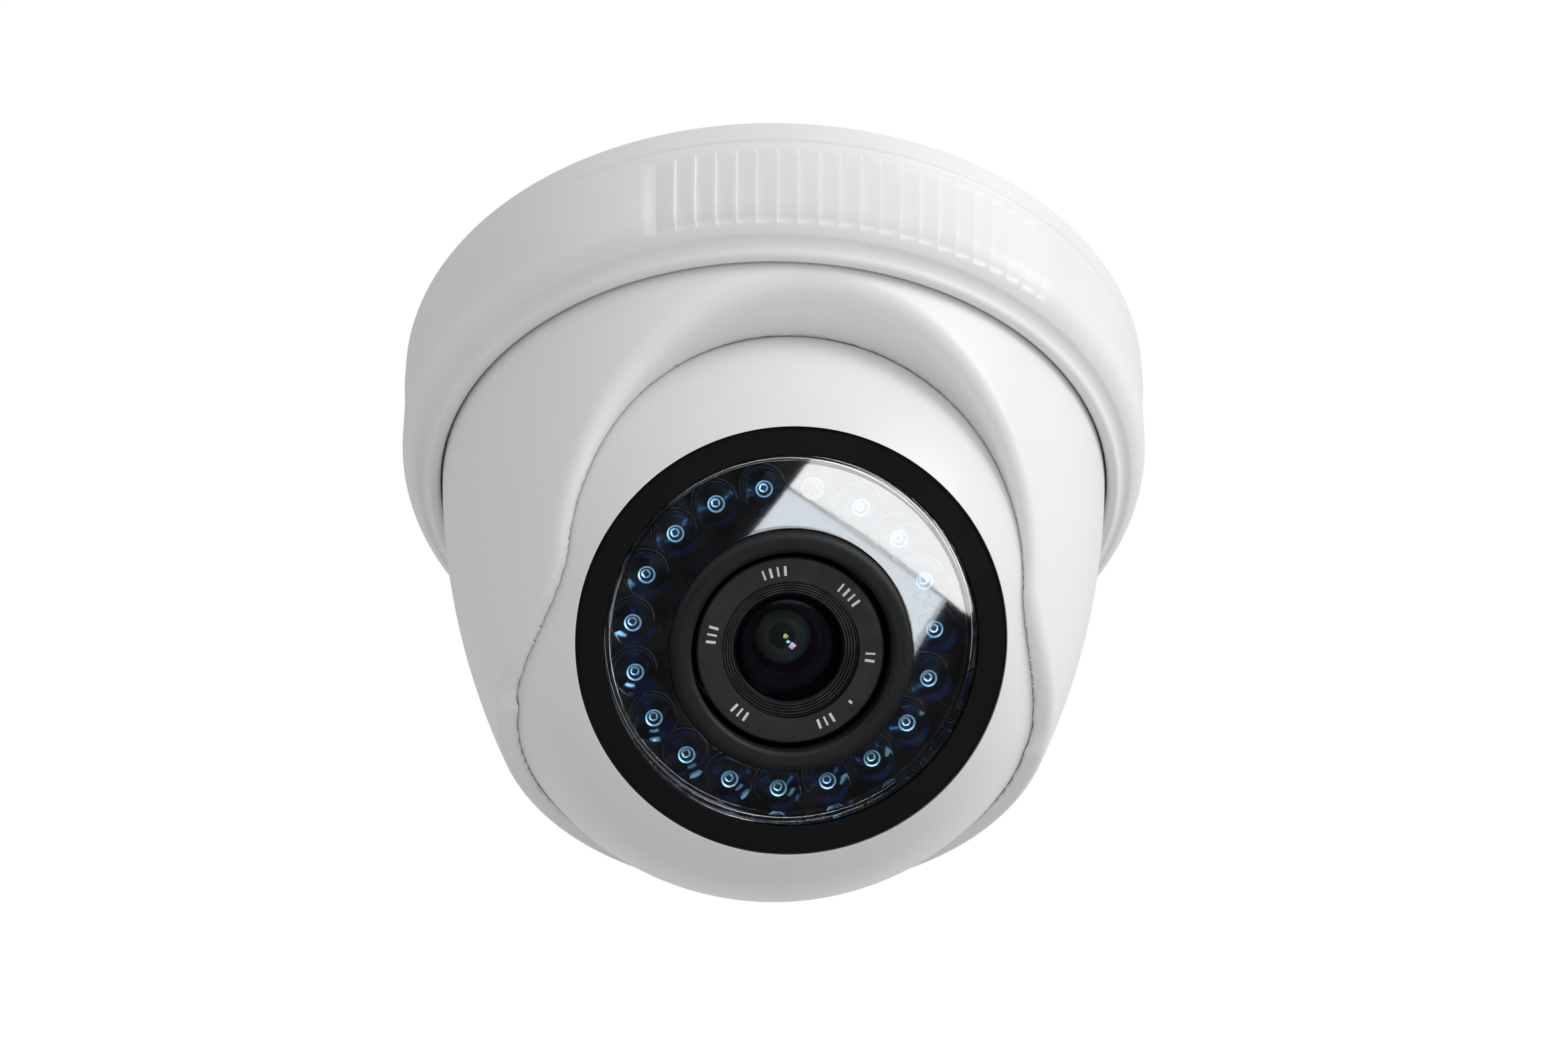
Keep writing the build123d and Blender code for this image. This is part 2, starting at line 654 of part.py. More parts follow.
with BuildPart() as led_lamps:
    with BuildSketch(lens_facing.offset(LAMP_BASE_H)):
        with PolarLocations(LAMP_RING_R, LAMP_COUNT, FIRST_LAMP, LAMP_SWEEP):
            Circle(LAMP_FLANGE_R)
    extrude(amount=1.0)
    with BuildSketch(lens_facing.offset(LAMP_BASE_H)):
        with PolarLocations(LAMP_RING_R, LAMP_COUNT, FIRST_LAMP, LAMP_SWEEP):
            Circle(LAMP_R)
    extrude(amount=LAMP_LENGTH - LAMP_R)
    with Locations(lens_facing.offset(LAMP_TIP_H - LAMP_R)):
        with PolarLocations(LAMP_RING_R, LAMP_COUNT, FIRST_LAMP, LAMP_SWEEP):
            Sphere(LAMP_R)
    with BuildSketch(lens_facing.offset(LAMP_BASE_H)):
        with PolarLocations(LAMP_RING_R, LAMP_COUNT, FIRST_LAMP, LAMP_SWEEP):
            Circle(POST_R + 0.02)
    extrude(amount=POST_LENGTH, mode=Mode.SUBTRACT)
save(led_lamps, "led_lamps")

with BuildPart() as led_cups:
    with BuildSketch(lens_facing.offset(CUP_FLOOR_H)):
        with PolarLocations(LAMP_RING_R, LAMP_COUNT, FIRST_LAMP, LAMP_SWEEP):
            Circle(POST_R)
    extrude(amount=CUP_FLOOR_T + POST_LENGTH - 0.05)
save(led_cups, "led_cups")

with BuildPart() as photocell:
    with BuildSketch(lens_facing.offset(CUP_FLOOR_H)):
        with Locations(PHOTOCELL_PLACE):
            Circle(POST_R)
    extrude(amount=CUP_FLOOR_T)
    with BuildSketch(lens_facing.offset(LAMP_BASE_H)):
        with Locations(PHOTOCELL_PLACE):
            Circle(PHOTOCELL_R)
    extrude(amount=PHOTOCELL_T)
save(photocell, "photocell")

with BuildPart() as lens_shroud:
    with BuildSketch(lens_side):
        with BuildLine():
            Polyline(
                (SHROUD_IN_R + 0.7, SHROUD_H),
                (SHROUD_IN_R, SHROUD_H - 0.7),
                (SHROUD_IN_R, LAMP_BASE_H),
                (SHROUD_R, LAMP_BASE_H),
                (SHROUD_R, SHROUD_H - 1.4),
            )
            RadiusArc((SHROUD_R, SHROUD_H - 1.4), (SHROUD_R - 1.3, SHROUD_H), -1.4)
            Line((SHROUD_R - 1.3, SHROUD_H), (SHROUD_IN_R + 0.7, SHROUD_H))
        make_face()
    revolve(axis=lens_axis)
save(lens_shroud, "lens_shroud")

# ---------------------------------------------------------------- sensor board and lens holder
SENSOR_BOARD_H = 0.0
SENSOR_BOARD_W = 32.0
HOLDER_W = 26.0
HOLDER_D = 18.0
HOLDER_H = 8.0
SLOT_W = 23.0
SLOT_D = 9.6
SLOT_LOW_H = 3.4
SLOT_T = 1.8
standoff_places = [(x, y) for x in (-STANDOFF_XY, STANDOFF_XY) for y in (-STANDOFF_XY, STANDOFF_XY)]

with BuildPart() as sensor_board:
    with BuildSketch(lens_facing.offset(SENSOR_BOARD_H - BOARD_T)):
        RectangleRounded(SENSOR_BOARD_W, SENSOR_BOARD_W, 1.5)
        with Locations(*standoff_places):
            Circle(1.0, mode=Mode.SUBTRACT)
    extrude(amount=BOARD_T)
save(sensor_board, "sensor_board")

with BuildPart() as image_sensor:
    with BuildSketch(lens_facing.offset(SENSOR_BOARD_H)):
        Rectangle(8.0, 7.2)
    extrude(amount=1.2)
save(image_sensor, "image_sensor")

with BuildPart() as lens_holder:
    with BuildSketch(lens_facing.offset(SENSOR_BOARD_H)):
        RectangleRounded(HOLDER_W, HOLDER_D, 1.0)
    extrude(amount=HOLDER_H)
    with BuildSketch(lens_facing.offset(HOLDER_H)):
        Circle(THREAD_R + 2.2)
    extrude(amount=4.0)
    # Sensor well, the filter's sliding slot, and the lens thread's bore.
    with BuildSketch(lens_facing.offset(SENSOR_BOARD_H)):
        Rectangle(9.4, 8.6)
    extrude(amount=SLOT_LOW_H, mode=Mode.SUBTRACT)
    with BuildSketch(lens_facing.offset(SLOT_LOW_H)):
        Rectangle(SLOT_W, SLOT_D)
    extrude(amount=SLOT_T, mode=Mode.SUBTRACT)
    with BuildSketch(lens_facing.offset(SLOT_LOW_H + SLOT_T)):
        Circle(THREAD_R + 0.05)
    extrude(amount=12.0, mode=Mode.SUBTRACT)
save(lens_holder, "lens_holder")

FILTER_TRAVEL = 6.8
FILTER_W = 15.6
FILTER_D = 9.0
FILTER_T = 1.2
FILTER_H = SLOT_LOW_H + 0.3
filter_centre_x = FILTER_TRAVEL / 2
filter_windows = [(0, 0), (FILTER_TRAVEL, 0)]

with BuildPart() as filter_frame:
    with BuildSketch(lens_facing.offset(FILTER_H)):
        with Locations((filter_centre_x, 0)):
            RectangleRounded(FILTER_W, FILTER_D, 0.8)
        with Locations(*filter_windows):
            Circle(3.1, mode=Mode.SUBTRACT)
    extrude(amount=FILTER_T)
save(filter_frame, "filter_frame")

with BuildPart() as filter_glasses:
    with BuildSketch(lens_facing.offset(FILTER_H + 0.3)):
        with Locations(*filter_windows):
            Circle(3.05)
    extrude(amount=0.6)
save(filter_glasses, "filter_glasses")

with BuildPart() as filter_coil:
    with BuildSketch(lens_facing.offset(SENSOR_BOARD_H)):
        with Locations((0, -HOLDER_D / 2 - 2.3)):
            RectangleRounded(11.0, 4.4, 0.6)
    extrude(amount=5.0)
save(filter_coil, "filter_coil")

with BuildPart() as front_standoffs:
    with BuildSketch(lens_facing.offset(SENSOR_BOARD_H)):
        with Locations(*standoff_places):
            RegularPolygon(1.9, 6)
        with Locations(*standoff_places):
            Circle(0.95, mode=Mode.SUBTRACT)
    extrude(amount=LED_BOARD_LOW_H - SENSOR_BOARD_H)
save(front_standoffs, "front_standoffs")

IO_BOARD_H = -11.0

with BuildPart() as rear_standoffs:
    with BuildSketch(lens_facing.offset(IO_BOARD_H)):
        with Locations(*standoff_places):
            RegularPolygon(1.9, 6)
    extrude(amount=SENSOR_BOARD_H - BOARD_T - IO_BOARD_H)
    with BuildSketch(lens_facing.offset(IO_BOARD_H)):
        with Locations(*standoff_places):
            Circle(0.95)
    extrude(amount=4.0, mode=Mode.SUBTRACT)
    with BuildSketch(lens_facing.offset(SENSOR_BOARD_H - BOARD_T - 2.0)):
        with Locations(*standoff_places):
            Circle(0.93)
    extrude(amount=BOARD_T + 5.0)
save(rear_standoffs, "rear_standoffs")

with BuildPart() as io_board:
    with BuildSketch(lens_facing.offset(IO_BOARD_H - BOARD_T)):
        RectangleRounded(SENSOR_BOARD_W, SENSOR_BOARD_W, 1.5)
        with Locations(*standoff_places):
            Circle(1.0, mode=Mode.SUBTRACT)
    extrude(amount=BOARD_T)
save(io_board, "io_board")

with BuildPart() as board_screws:
    with BuildSketch(lens_facing.offset(IO_BOARD_H - BOARD_T - 1.3)):
        with Locations(*standoff_places):
            Circle(1.9)
    extrude(amount=1.3)
    with BuildSketch(lens_facing.offset(IO_BOARD_H - BOARD_T)):
        with Locations(*standoff_places):
            Circle(0.9)
    extrude(amount=BOARD_T + 3.0)
save(board_screws, "board_screws")

with BuildPart() as board_header:
    with BuildSketch(lens_facing.offset(IO_BOARD_H)):
        with Locations((0, 12.5)):
            Rectangle(14.0, 3.0)
    extrude(amount=SENSOR_BOARD_H - BOARD_T - IO_BOARD_H)
save(board_header, "board_header")

with BuildPart() as video_connector:
    with BuildSketch(lens_facing.offset(IO_BOARD_H - BOARD_T - 5.0)):
        with Locations((0, -8)):
            Rectangle(10.0, 4.6)
        with Locations((0, -8)):
            Rectangle(8.4, 3.0, mode=Mode.SUBTRACT)
    extrude(amount=5.0)
    with BuildSketch(lens_facing.offset(IO_BOARD_H - BOARD_T - 1.2)):
        with Locations((0, -8)):
            Rectangle(10.0, 4.6)
    extrude(amount=1.2)
save(video_connector, "video_connector")

with BuildPart() as board_chips:
    with BuildSketch(lens_facing.offset(IO_BOARD_H - BOARD_T - 1.1)):
        with Locations((-6, 5), (6.5, 4)):
            Rectangle(7.0, 7.0)
    extrude(amount=1.1)
    with BuildSketch(lens_facing.offset(IO_BOARD_H - BOARD_T - 5.5)):
        with Locations((-11, -6), (11, -6)):
            Circle(2.1)
    extrude(amount=5.5)
save(board_chips, "board_chips")

# ---------------------------------------------------------------- lens (turns to focus)
HEAD_BACK_H = 15.0
HEAD_FRONT_H = 24.2
LABEL_IN_R = 8.0
LABEL_T = 0.8
NUT_LOW_H = 12.3
NUT_T = 1.8

with BuildPart() as lens_barrel:
    turned(
        [
            (4.6, 6.0),
            (THREAD_R - 0.03, 6.0),
            (THREAD_R - 0.03, HEAD_BACK_H),
            (9.4, HEAD_BACK_H),
            (LENS_HEAD_R, HEAD_BACK_H + 2.0),
            (LENS_HEAD_R, HEAD_FRONT_H - LABEL_T),
            (LABEL_IN_R + 0.3, HEAD_FRONT_H - LABEL_T),
            (7.6, 23.0),
            (LENS_GLASS_R + 0.05, 22.6),
            (LENS_GLASS_R + 0.05, 19.0),
            (4.6, 17.0),
        ],
        lens_side,
        lens_axis,
    )
save(lens_barrel, "lens_barrel")

with BuildPart() as lens_label_ring:
    turned(
        [
            (LABEL_IN_R + 0.3, HEAD_FRONT_H - LABEL_T),
            (LENS_HEAD_R, HEAD_FRONT_H - LABEL_T),
            (LENS_HEAD_R, HEAD_FRONT_H - 0.25),
            (LENS_HEAD_R - 0.25, HEAD_FRONT_H),
            (LABEL_IN_R, HEAD_FRONT_H),
        ],
        lens_side,
        lens_axis,
    )
save(lens_label_ring, "lens_label_ring")

GLASS_CURVE_R = 12.0
GLASS_TOP_H = 23.2


def glass_point(radius):
    """A point of the front glass's domed face."""
    return (radius, GLASS_TOP_H - GLASS_CURVE_R + sqrt(GLASS_CURVE_R**2 - radius**2))


with BuildPart() as front_lens:
    with BuildSketch(lens_side):
        with BuildLine():
            Polyline((0, 19.4), (LENS_GLASS_R, 19.4), glass_point(LENS_GLASS_R))
            ThreePointArc(glass_point(LENS_GLASS_R), glass_point(LENS_GLASS_R / 2), glass_point(0))
            Line(glass_point(0), (0, 19.4))
        make_face()
    revolve(axis=lens_axis)
save(front_lens, "front_lens")

with BuildPart() as middle_lens:
    tube(0, 4.55, 13.5, 16.8, lens_side, lens_axis)
save(middle_lens, "middle_lens")

with BuildPart() as aperture_stop:
    tube(1.6, 4.55, 12.6, 13.3, lens_side, lens_axis)
save(aperture_stop, "aperture_stop")

with BuildPart() as rear_lens:
    tube(0, 4.55, 7.2, 11.6, lens_side, lens_axis)
save(rear_lens, "rear_lens")

with BuildPart() as focus_lock_nut:
    with BuildSketch(lens_facing.offset(NUT_LOW_H)):
        Circle(9.0)
        with PolarLocations(9.15, 24):
            Circle(0.45, mode=Mode.SUBTRACT)
        Circle(THREAD_R + 0.02, mode=Mode.SUBTRACT)
    extrude(amount=NUT_T)
save(focus_lock_nut, "focus_lock_nut")
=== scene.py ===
"""Looks for the ceiling dome camera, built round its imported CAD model.

Sizes are in millimetres until a mesh is made, and each mesh is in metres, in the CAD model's
own frame: origin at the centre of the ceiling face, +Z up into the ceiling, lens toward -Y.
"""

import json
from math import atan2, ceil, cos, hypot, pi, radians, sin, sqrt, tan

import bmesh
import bpy
import numpy as np
from mathutils import Matrix, Vector


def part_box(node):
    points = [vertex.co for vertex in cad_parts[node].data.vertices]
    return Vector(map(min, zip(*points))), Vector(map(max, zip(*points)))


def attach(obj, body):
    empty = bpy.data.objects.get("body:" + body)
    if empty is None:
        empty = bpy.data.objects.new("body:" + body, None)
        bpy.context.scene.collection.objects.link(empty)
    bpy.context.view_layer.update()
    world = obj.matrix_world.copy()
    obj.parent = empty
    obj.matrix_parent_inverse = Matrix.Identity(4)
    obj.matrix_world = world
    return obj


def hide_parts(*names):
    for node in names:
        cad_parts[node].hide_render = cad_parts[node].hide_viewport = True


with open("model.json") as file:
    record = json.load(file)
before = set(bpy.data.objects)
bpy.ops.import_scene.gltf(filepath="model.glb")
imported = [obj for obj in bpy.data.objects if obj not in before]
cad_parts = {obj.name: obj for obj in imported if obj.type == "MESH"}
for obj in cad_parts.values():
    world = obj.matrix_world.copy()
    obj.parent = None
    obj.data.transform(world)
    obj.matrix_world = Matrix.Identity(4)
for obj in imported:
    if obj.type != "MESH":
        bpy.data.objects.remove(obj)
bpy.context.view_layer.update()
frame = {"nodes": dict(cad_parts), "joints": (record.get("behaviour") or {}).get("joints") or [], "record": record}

MM = 0.001

# ---------------------------------------------------------------- places, from the frame
joints = {joint["name"]: joint for joint in frame["joints"]}
BALL = Vector(joints["ball_tilt"]["pos_m"]) / MM
LENS = Vector(joints["lens_focus"]["pos_m"]) / MM
AIM = Vector(joints["ball_roll"]["axis"]).normalized()


def facing(origin):
    """Local X to the right, Y up and Z toward the viewer, as seen from in front of the lens."""
    right = Vector((1, 0, 0))
    turn = Matrix((right, AIM.cross(right), AIM)).transposed().to_4x4()
    return Matrix.Translation(origin) @ turn


UPRIGHT = Matrix.Identity(4)
BALL_SEAT = facing(BALL)
LENS_SEAT = facing(LENS)
LENS_DROP = (BALL - LENS).length

# ---------------------------------------------------------------- driving dimensions
BALL_R = 35.55
SHELL_IN_R = 33.3
SPLIT_H = 4.3
FACE_H = 25.05
REAR_H = -25.6
SOCKET_R = 35.58
SOCKET_EASE = 0.15        # more room round the top of the ball

RING_R = 46.95
RING_WALL_R = 46.6
SHOULDER_Z = -12.9
SHOULDER_R = 5.7
RIB_TOP_Z = -5.2
RIB_FOOT_Z = -15.9
RIB_PITCH = 3.05
RIB_COUNT = 20
RIB_START = -25.3
RIB_TOP_DEPTH = 0.2
RIB_FOOT_DEPTH = 0.62

ARCH_R = 26.4
ARCH_Z = -48.2
ARCH_FLARE = 8.15
ARCH_LIP = 2.7
ARCH_WEB = 1.6

BEZEL_R = 25.05
BEZEL_IN_R = 21.8
SHROUD_R = 14.2
SHROUD_IN_R = 11.65
LENS_HEAD_R = 11.0
LENS_HEAD_H = 24.2
GLASS_R = 6.3
LAMP_RING_R = 18.0
LAMP_R = 2.5
LAMP_BASE_H = 11.6
LAMP_TIP_H = 20.3
LAMP_COUNT = 18
PHOTOCELL_ANGLE = 84.3

FINE = 256                # segments round a large turned part
SMALL = 48                # segments round a lamp


# ---------------------------------------------------------------- outlines
def arc(centre, radius, start, end, steps):
    """Points along an arc, with its angles in degrees."""
    angles = [radians(start + (end - start) * k / steps) for k in range(steps + 1)]
    return [(centre[0] + radius * cos(a), centre[1] + radius * sin(a)) for a in angles]


def circle_through(first, middle, last):
    """Centre and radius of the circle through three points."""
    (ax, ay), (bx, by), (cx, cy) = first, middle, last
    twice_area = 2 * (ax * (by - cy) + bx * (cy - ay) + cx * (ay - by))
    a2, b2, c2 = (x * x + y * y for x, y in (first, middle, last))
    x = (a2 * (by - cy) + b2 * (cy - ay) + c2 * (ay - by)) / twice_area
    y = (a2 * (cx - bx) + b2 * (ax - cx) + c2 * (bx - ax)) / twice_area
    return x, y, hypot(ax - x, ay - y)


def arc_through(first, middle, last, steps):
    """Points along the arc through three points."""
    x, y, radius = circle_through(first, middle, last)
    start, mid, end = (atan2(q - y, p - x) for p, q in (first, middle, last))
    turn = (end - start) % (2 * pi)
    if (mid - start) % (2 * pi) > turn:
        turn -= 2 * pi
    angles = [start + turn * k / steps for k in range(steps + 1)]
    return [(x + radius * cos(a), y + radius * sin(a)) for a in angles]


def on_sphere(radius, low, high, steps):
    """Points of a sphere's outline between two heights above its centre."""
    start, end = (atan2(h, sqrt(radius**2 - h**2)) for h in (low, high))
    angles = [start + (end - start) * k / steps for k in range(steps + 1)]
    return [(radius * cos(a), radius * sin(a)) for a in angles]


def rounded(corners, steps=5):
    """A closed outline whose corners (x, y, radius) are turned into arcs."""
    points = []
    for i, (x, y, radius) in enumerate(corners):
        here = Vector((x, y))
        before = Vector(corners[i - 1][:2]) - here
        after = Vector(corners[(i + 1) % len(corners)][:2]) - here
        if radius == 0:
            points.append((x, y))
            continue
        half = before.angle(after) / 2
        reach = min(radius / tan(half), 0.45 * before.length, 0.45 * after.length)
        start = here + before.normalized() * reach
        end = here + after.normalized() * reach
        centre = here + (before.normalized() + after.normalized()).normalized() * reach / cos(half)
        first = atan2(*(start - centre).yx)
        turn = (atan2(*(end - centre).yx) - first + pi) % (2 * pi) - pi
        size = (start - centre).length
        for k in range(steps + 1):
            angle = first + turn * k / steps
            points.append((centre.x + size * cos(angle), centre.y + size * sin(angle)))
    return points


# ---------------------------------------------------------------- meshes
def turned(outline, segments=FINE, closed=True, radius_at=None, angles=None, shift=None):
    """Turns (radius, height) points about local Z.

    radius_at(radius, height, angle) may change a radius round the turn, and shift(radius)
    may move a whole circle along local Y.
    """
    if angles is None:
        angles = [2 * pi * k / segments for k in range(segments)]
    count = len(angles)
    points, rings = [], []
    for r, h in outline:
        if r < 1e-6:
            rings.append([len(points)] * count)
            points.append((0, 0, h))
            continue
        rings.append(list(range(len(points), len(points) + count)))
        y = shift(r) if shift else 0
        for a in angles:
            radius = radius_at(r, h, a) if radius_at else r
            points.append((radius * cos(a), radius * sin(a) + y, h))
    following = rings[1:] + rings[:1] if closed else rings[1:]
    faces = []
    for low, high in zip(rings, following):
        for k in range(count):
            n = (k + 1) % count
            corners = list(dict.fromkeys((low[k], low[n], high[n], high[k])))
            if len(corners) > 2:
                faces.append(corners)
    return points, faces


def moved(geometry, place):
    """Geometry carried by a matrix."""
    points, faces = geometry
    return [tuple(place @ Vector(p)) for p in points], faces


def joined(parts):
    """Several lots of geometry as one."""
    points, faces = [], []
    for part_points, part_faces in parts:
        base = len(points)
        points += part_points
        faces += [[base + i for i in face] for face in part_faces]
    return points, faces


def prism(outline, low, high, bevel=0.0):
    """A flat outline of (x, y) points given thickness, with an optional bevelled top."""
    count = len(outline)
    middle = Vector((sum(p[0] for p in outline) / count, sum(p[1] for p in outline) / count))
    levels = [(low, 0.0), (high - bevel, 0.0)]
    if bevel:
        levels.append((high, bevel))
    points = []
    for h, inward in levels:
        for x, y in outline:
            away = Vector((x, y)) - middle
            at = middle + away * max(0.0, 1 - inward / max(away.length, 1e-6))
            points.append((at.x, at.y, h))
    faces = [list(range(count))[::-1]]
    for level in range(len(levels) - 1):
        base = level * count
        for k in range(count):
            n = (k + 1) % count
            faces.append([base + k, base + n, base + count + n, base + count + k])
    faces.append([(len(levels) - 1) * count + k for k in range(count)])
    return points, faces


def make_piece(name, geometry, seat, body, material, nodes=(), sharp=35.0):
    """A finished piece: its mesh in the CAD frame, riding on its body."""
    points, faces = geometry
    mesh = bpy.data.meshes.new(name)
    mesh.from_pydata([tuple(p) for p in points], [], [list(f) for f in faces])
    shape = bmesh.new()
    shape.from_mesh(mesh)
    bmesh.ops.recalc_face_normals(shape, faces=shape.faces)
    shape.to_mesh(mesh)
    shape.free()
    mesh.transform(Matrix.Scale(MM, 4) @ seat)
    mesh.shade_smooth()
    mesh.set_sharp_from_angle(angle=radians(sharp))
    mesh.materials.append(material)
    piece = bpy.data.objects.new(name, mesh)
    bpy.context.scene.collection.objects.link(piece)
    even = piece.modifiers.new("even_shading", "WEIGHTED_NORMAL")
    even.keep_sharp = True
    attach(piece, body)
    if nodes:
        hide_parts(*nodes)
    return piece


def surface_net(field, low, high, cell):
    """The surface where field(x, y, z) is zero, as quads on a grid, moved onto the surface."""
    low, high = np.array(low, float), np.array(high, float)
    counts = np.ceil((high - low) / cell).astype(int) + 1
    axes = [low[i] + cell * np.arange(counts[i]) for i in range(3)]
    value = field(*np.meshgrid(*axes, indexing="ij")).astype(np.float32)
    cells = tuple(counts - 1)
    corners = [(i, j, k) for i in (0, 1) for j in (0, 1) for k in (0, 1)]
    window = {c: value[tuple(slice(s, s + n) for s, n in zip(c, cells))] for c in corners}
    inside_count = sum((window[c] < 0).astype(np.int8) for c in corners)
    mixed = (inside_count > 0) & (inside_count < 8)
    index = np.full(cells, -1)
    index[mixed] = np.arange(mixed.sum())
    where = np.argwhere(mixed)
    total = np.zeros((len(where), 3))
    crossings = np.zeros(len(where))
    for a in corners:
        for axis in range(3):
            if a[axis]:
                continue
            b = tuple(1 if i == axis else a[i] for i in range(3))
            va, vb = window[a][mixed], window[b][mixed]
            cuts = (va < 0) != (vb < 0)
            at = np.tile(np.array(a, float), (len(where), 1))
            share = va / np.where(cuts, va - vb, 1)
            at[:, axis] = share
            total[cuts] += at[cuts]
            crossings += cuts
    points = low + cell * (where + total / crossings[:, None])
    faces = []
    for axis in range(3):
        b, c = (axis + 1) % 3, (axis + 2) % 3
        take = [slice(1, n) for n in cells]
        take[axis] = slice(0, cells[axis])
        here = value[tuple(take)]
        ahead = list(take)
        ahead[axis] = slice(1, cells[axis] + 1)
        there = value[tuple(ahead)]
        edge = np.argwhere((here < 0) != (there < 0))
        outward = (here < 0)[tuple(edge.T)]
        edge = edge + np.array([0 if i == axis else 1 for i in range(3)])
        ring = []
        for db, dc in ((0, 0), (1, 0), (1, 1), (0, 1)):
            at = edge.copy()
            at[:, b] -= db
            at[:, c] -= dc
            ring.append(index[tuple(at.T)])
        quad = np.stack(ring, 1)
        quad[~outward] = quad[~outward][:, ::-1]
        faces.append(quad)
    reach = cell * 0.5
    step = cell * 0.05
    for _ in range(4):
        slope = np.zeros_like(points)
        for i in range(3):
            ahead, behind = points.copy(), points.copy()
            ahead[:, i] += step
            behind[:, i] -= step
            slope[:, i] = (field(*ahead.T) - field(*behind.T)) / (2 * step)
        size = (slope**2).sum(1)
        move = -field(*points.T) / np.maximum(size, 0.2)
        points += slope * np.clip(move, -reach, reach)[:, None]
    return points.tolist(), np.concatenate(faces).tolist()


# ---------------------------------------------------------------- materials
def new_material(name):
    """An empty node material, with its Principled shader."""
    material = bpy.data.materials.new(name)
    material.use_nodes = True
    nodes = material.node_tree.nodes
    return material, nodes, material.node_tree.links, nodes["Principled BSDF"]


def add_noise(nodes, links, per_mm, detail=3.0, roughness=0.5):
    """Noise in the CAD frame, with a feature size given by how many cells there are in 1 mm."""
    place = nodes.new("ShaderNodeTexCoord")
    noise = nodes.new("ShaderNodeTexNoise")
    noise.inputs["Scale"].default_value = per_mm / MM
    noise.inputs["Detail"].default_value = detail
    noise.inputs["Roughness"].default_value = roughness
    links.new(place.outputs["Object"], noise.inputs["Vector"])
    return noise.outputs["Fac"]


def add_range(nodes, links, source, low, high, from_low=0.3, from_high=0.7):
    """A factor spread over a range of values."""
    spread = nodes.new("ShaderNodeMapRange")
    spread.inputs["From Min"].default_value = from_low
    spread.inputs["From Max"].default_value = from_high
    spread.inputs["To Min"].default_value = low
    spread.inputs["To Max"].default_value = high
    links.new(source, spread.inputs["Value"])
    return spread.outputs["Result"]


def add_blend(nodes, links, source, first, second):
    """A colour between two, by a factor."""
    blend = nodes.new("ShaderNodeMix")
    blend.data_type = "RGBA"
    blend.inputs["A"].default_value = (*first, 1)
    blend.inputs["B"].default_value = (*second, 1)
    links.new(source, blend.inputs["Factor"])
    return blend.outputs["Result"]


def add_bump(nodes, links, source, depth_mm, strength):
    """A bump of a real depth."""
    bump = nodes.new("ShaderNodeBump")
    bump.inputs["Distance"].default_value = depth_mm * MM
    bump.inputs["Strength"].default_value = strength
    links.new(source, bump.inputs["Height"])
    return bump.outputs["Normal"]


def moulded(name, light, dark, rough=(0.34, 0.46), grain=3.2, depth=0.012, mottle=0.05):
    """Moulded plastic or rubber: a fine spark-eroded grain, a soft mottle and uneven sheen."""
    material, nodes, links, shader = new_material(name)
    cloud = add_noise(nodes, links, mottle, detail=4.0)
    fine = add_noise(nodes, links, grain, detail=2.0)
    links.new(add_blend(nodes, links, add_range(nodes, links, cloud, 0, 1), dark, light),
              shader.inputs["Base Color"])
    links.new(add_range(nodes, links, cloud, *rough), shader.inputs["Roughness"])
    links.new(add_bump(nodes, links, fine, depth, 0.35), shader.inputs["Normal"])
    return material


def metal(name, light, dark, rough=(0.2, 0.4), grain=2.0, depth=0.006):
    """Plated or turned metal with a faint grain."""
    material = moulded(name, light, dark, rough, grain, depth, mottle=0.4)
    material.node_tree.nodes["Principled BSDF"].inputs["Metallic"].default_value = 1.0
    return material


def see_through(name, tint, mirror_tint, mirror_ior, haze, rough=0.02):
    """Thin clear plastic or coated glass: what lies behind it, under its own mirror image."""
    material, nodes, links, shader = new_material(name)
    nodes.remove(shader)
    out = nodes["Material Output"]
    clear = nodes.new("ShaderNodeBsdfTransparent")
    clear.inputs["Color"].default_value = (*tint, 1)
    mirror = nodes.new("ShaderNodeBsdfGlossy")
    mirror.inputs["Color"].default_value = (*mirror_tint, 1)
    mirror.inputs["Roughness"].default_value = rough
    dust = nodes.new("ShaderNodeBsdfDiffuse")
    dust.inputs["Color"].default_value = (0.75, 0.78, 0.8, 1)
    film = nodes.new("ShaderNodeMixShader")
    smudge = add_noise(nodes, links, 0.35, detail=6.0, roughness=0.65)
    links.new(add_range(nodes, links, smudge, 0.0, haze, 0.45, 0.8), film.inputs["Fac"])
    links.new(clear.outputs["BSDF"], film.inputs[1])
    links.new(dust.outputs["BSDF"], film.inputs[2])
    fresnel = nodes.new("ShaderNodeFresnel")
    fresnel.inputs["IOR"].default_value = mirror_ior
    both = nodes.new("ShaderNodeMixShader")
    links.new(fresnel.outputs["Fac"], both.inputs["Fac"])
    links.new(film.outputs["Shader"], both.inputs[1])
    links.new(mirror.outputs["BSDF"], both.inputs[2])
    links.new(both.outputs["Shader"], out.inputs["Surface"])
    return material


def lamp_epoxy():
    """Clear epoxy with the blue tint of an infrared lamp, and faint flow lines in it."""
    material, nodes, links, shader = new_material("lamp_epoxy_blue")
    swirl = add_noise(nodes, links, 0.5, detail=2.0)
    tint = add_blend(nodes, links, add_range(nodes, links, swirl, 0, 1),
                     (0.30, 0.62, 0.95), (0.38, 0.70, 0.98))
    links.new(tint, shader.inputs["Base Color"])
    shader.inputs["Transmission Weight"].default_value = 1.0
    shader.inputs["IOR"].default_value = 1.53
    links.new(add_range(nodes, links, swirl, 0.01, 0.04), shader.inputs["Roughness"])
    return material


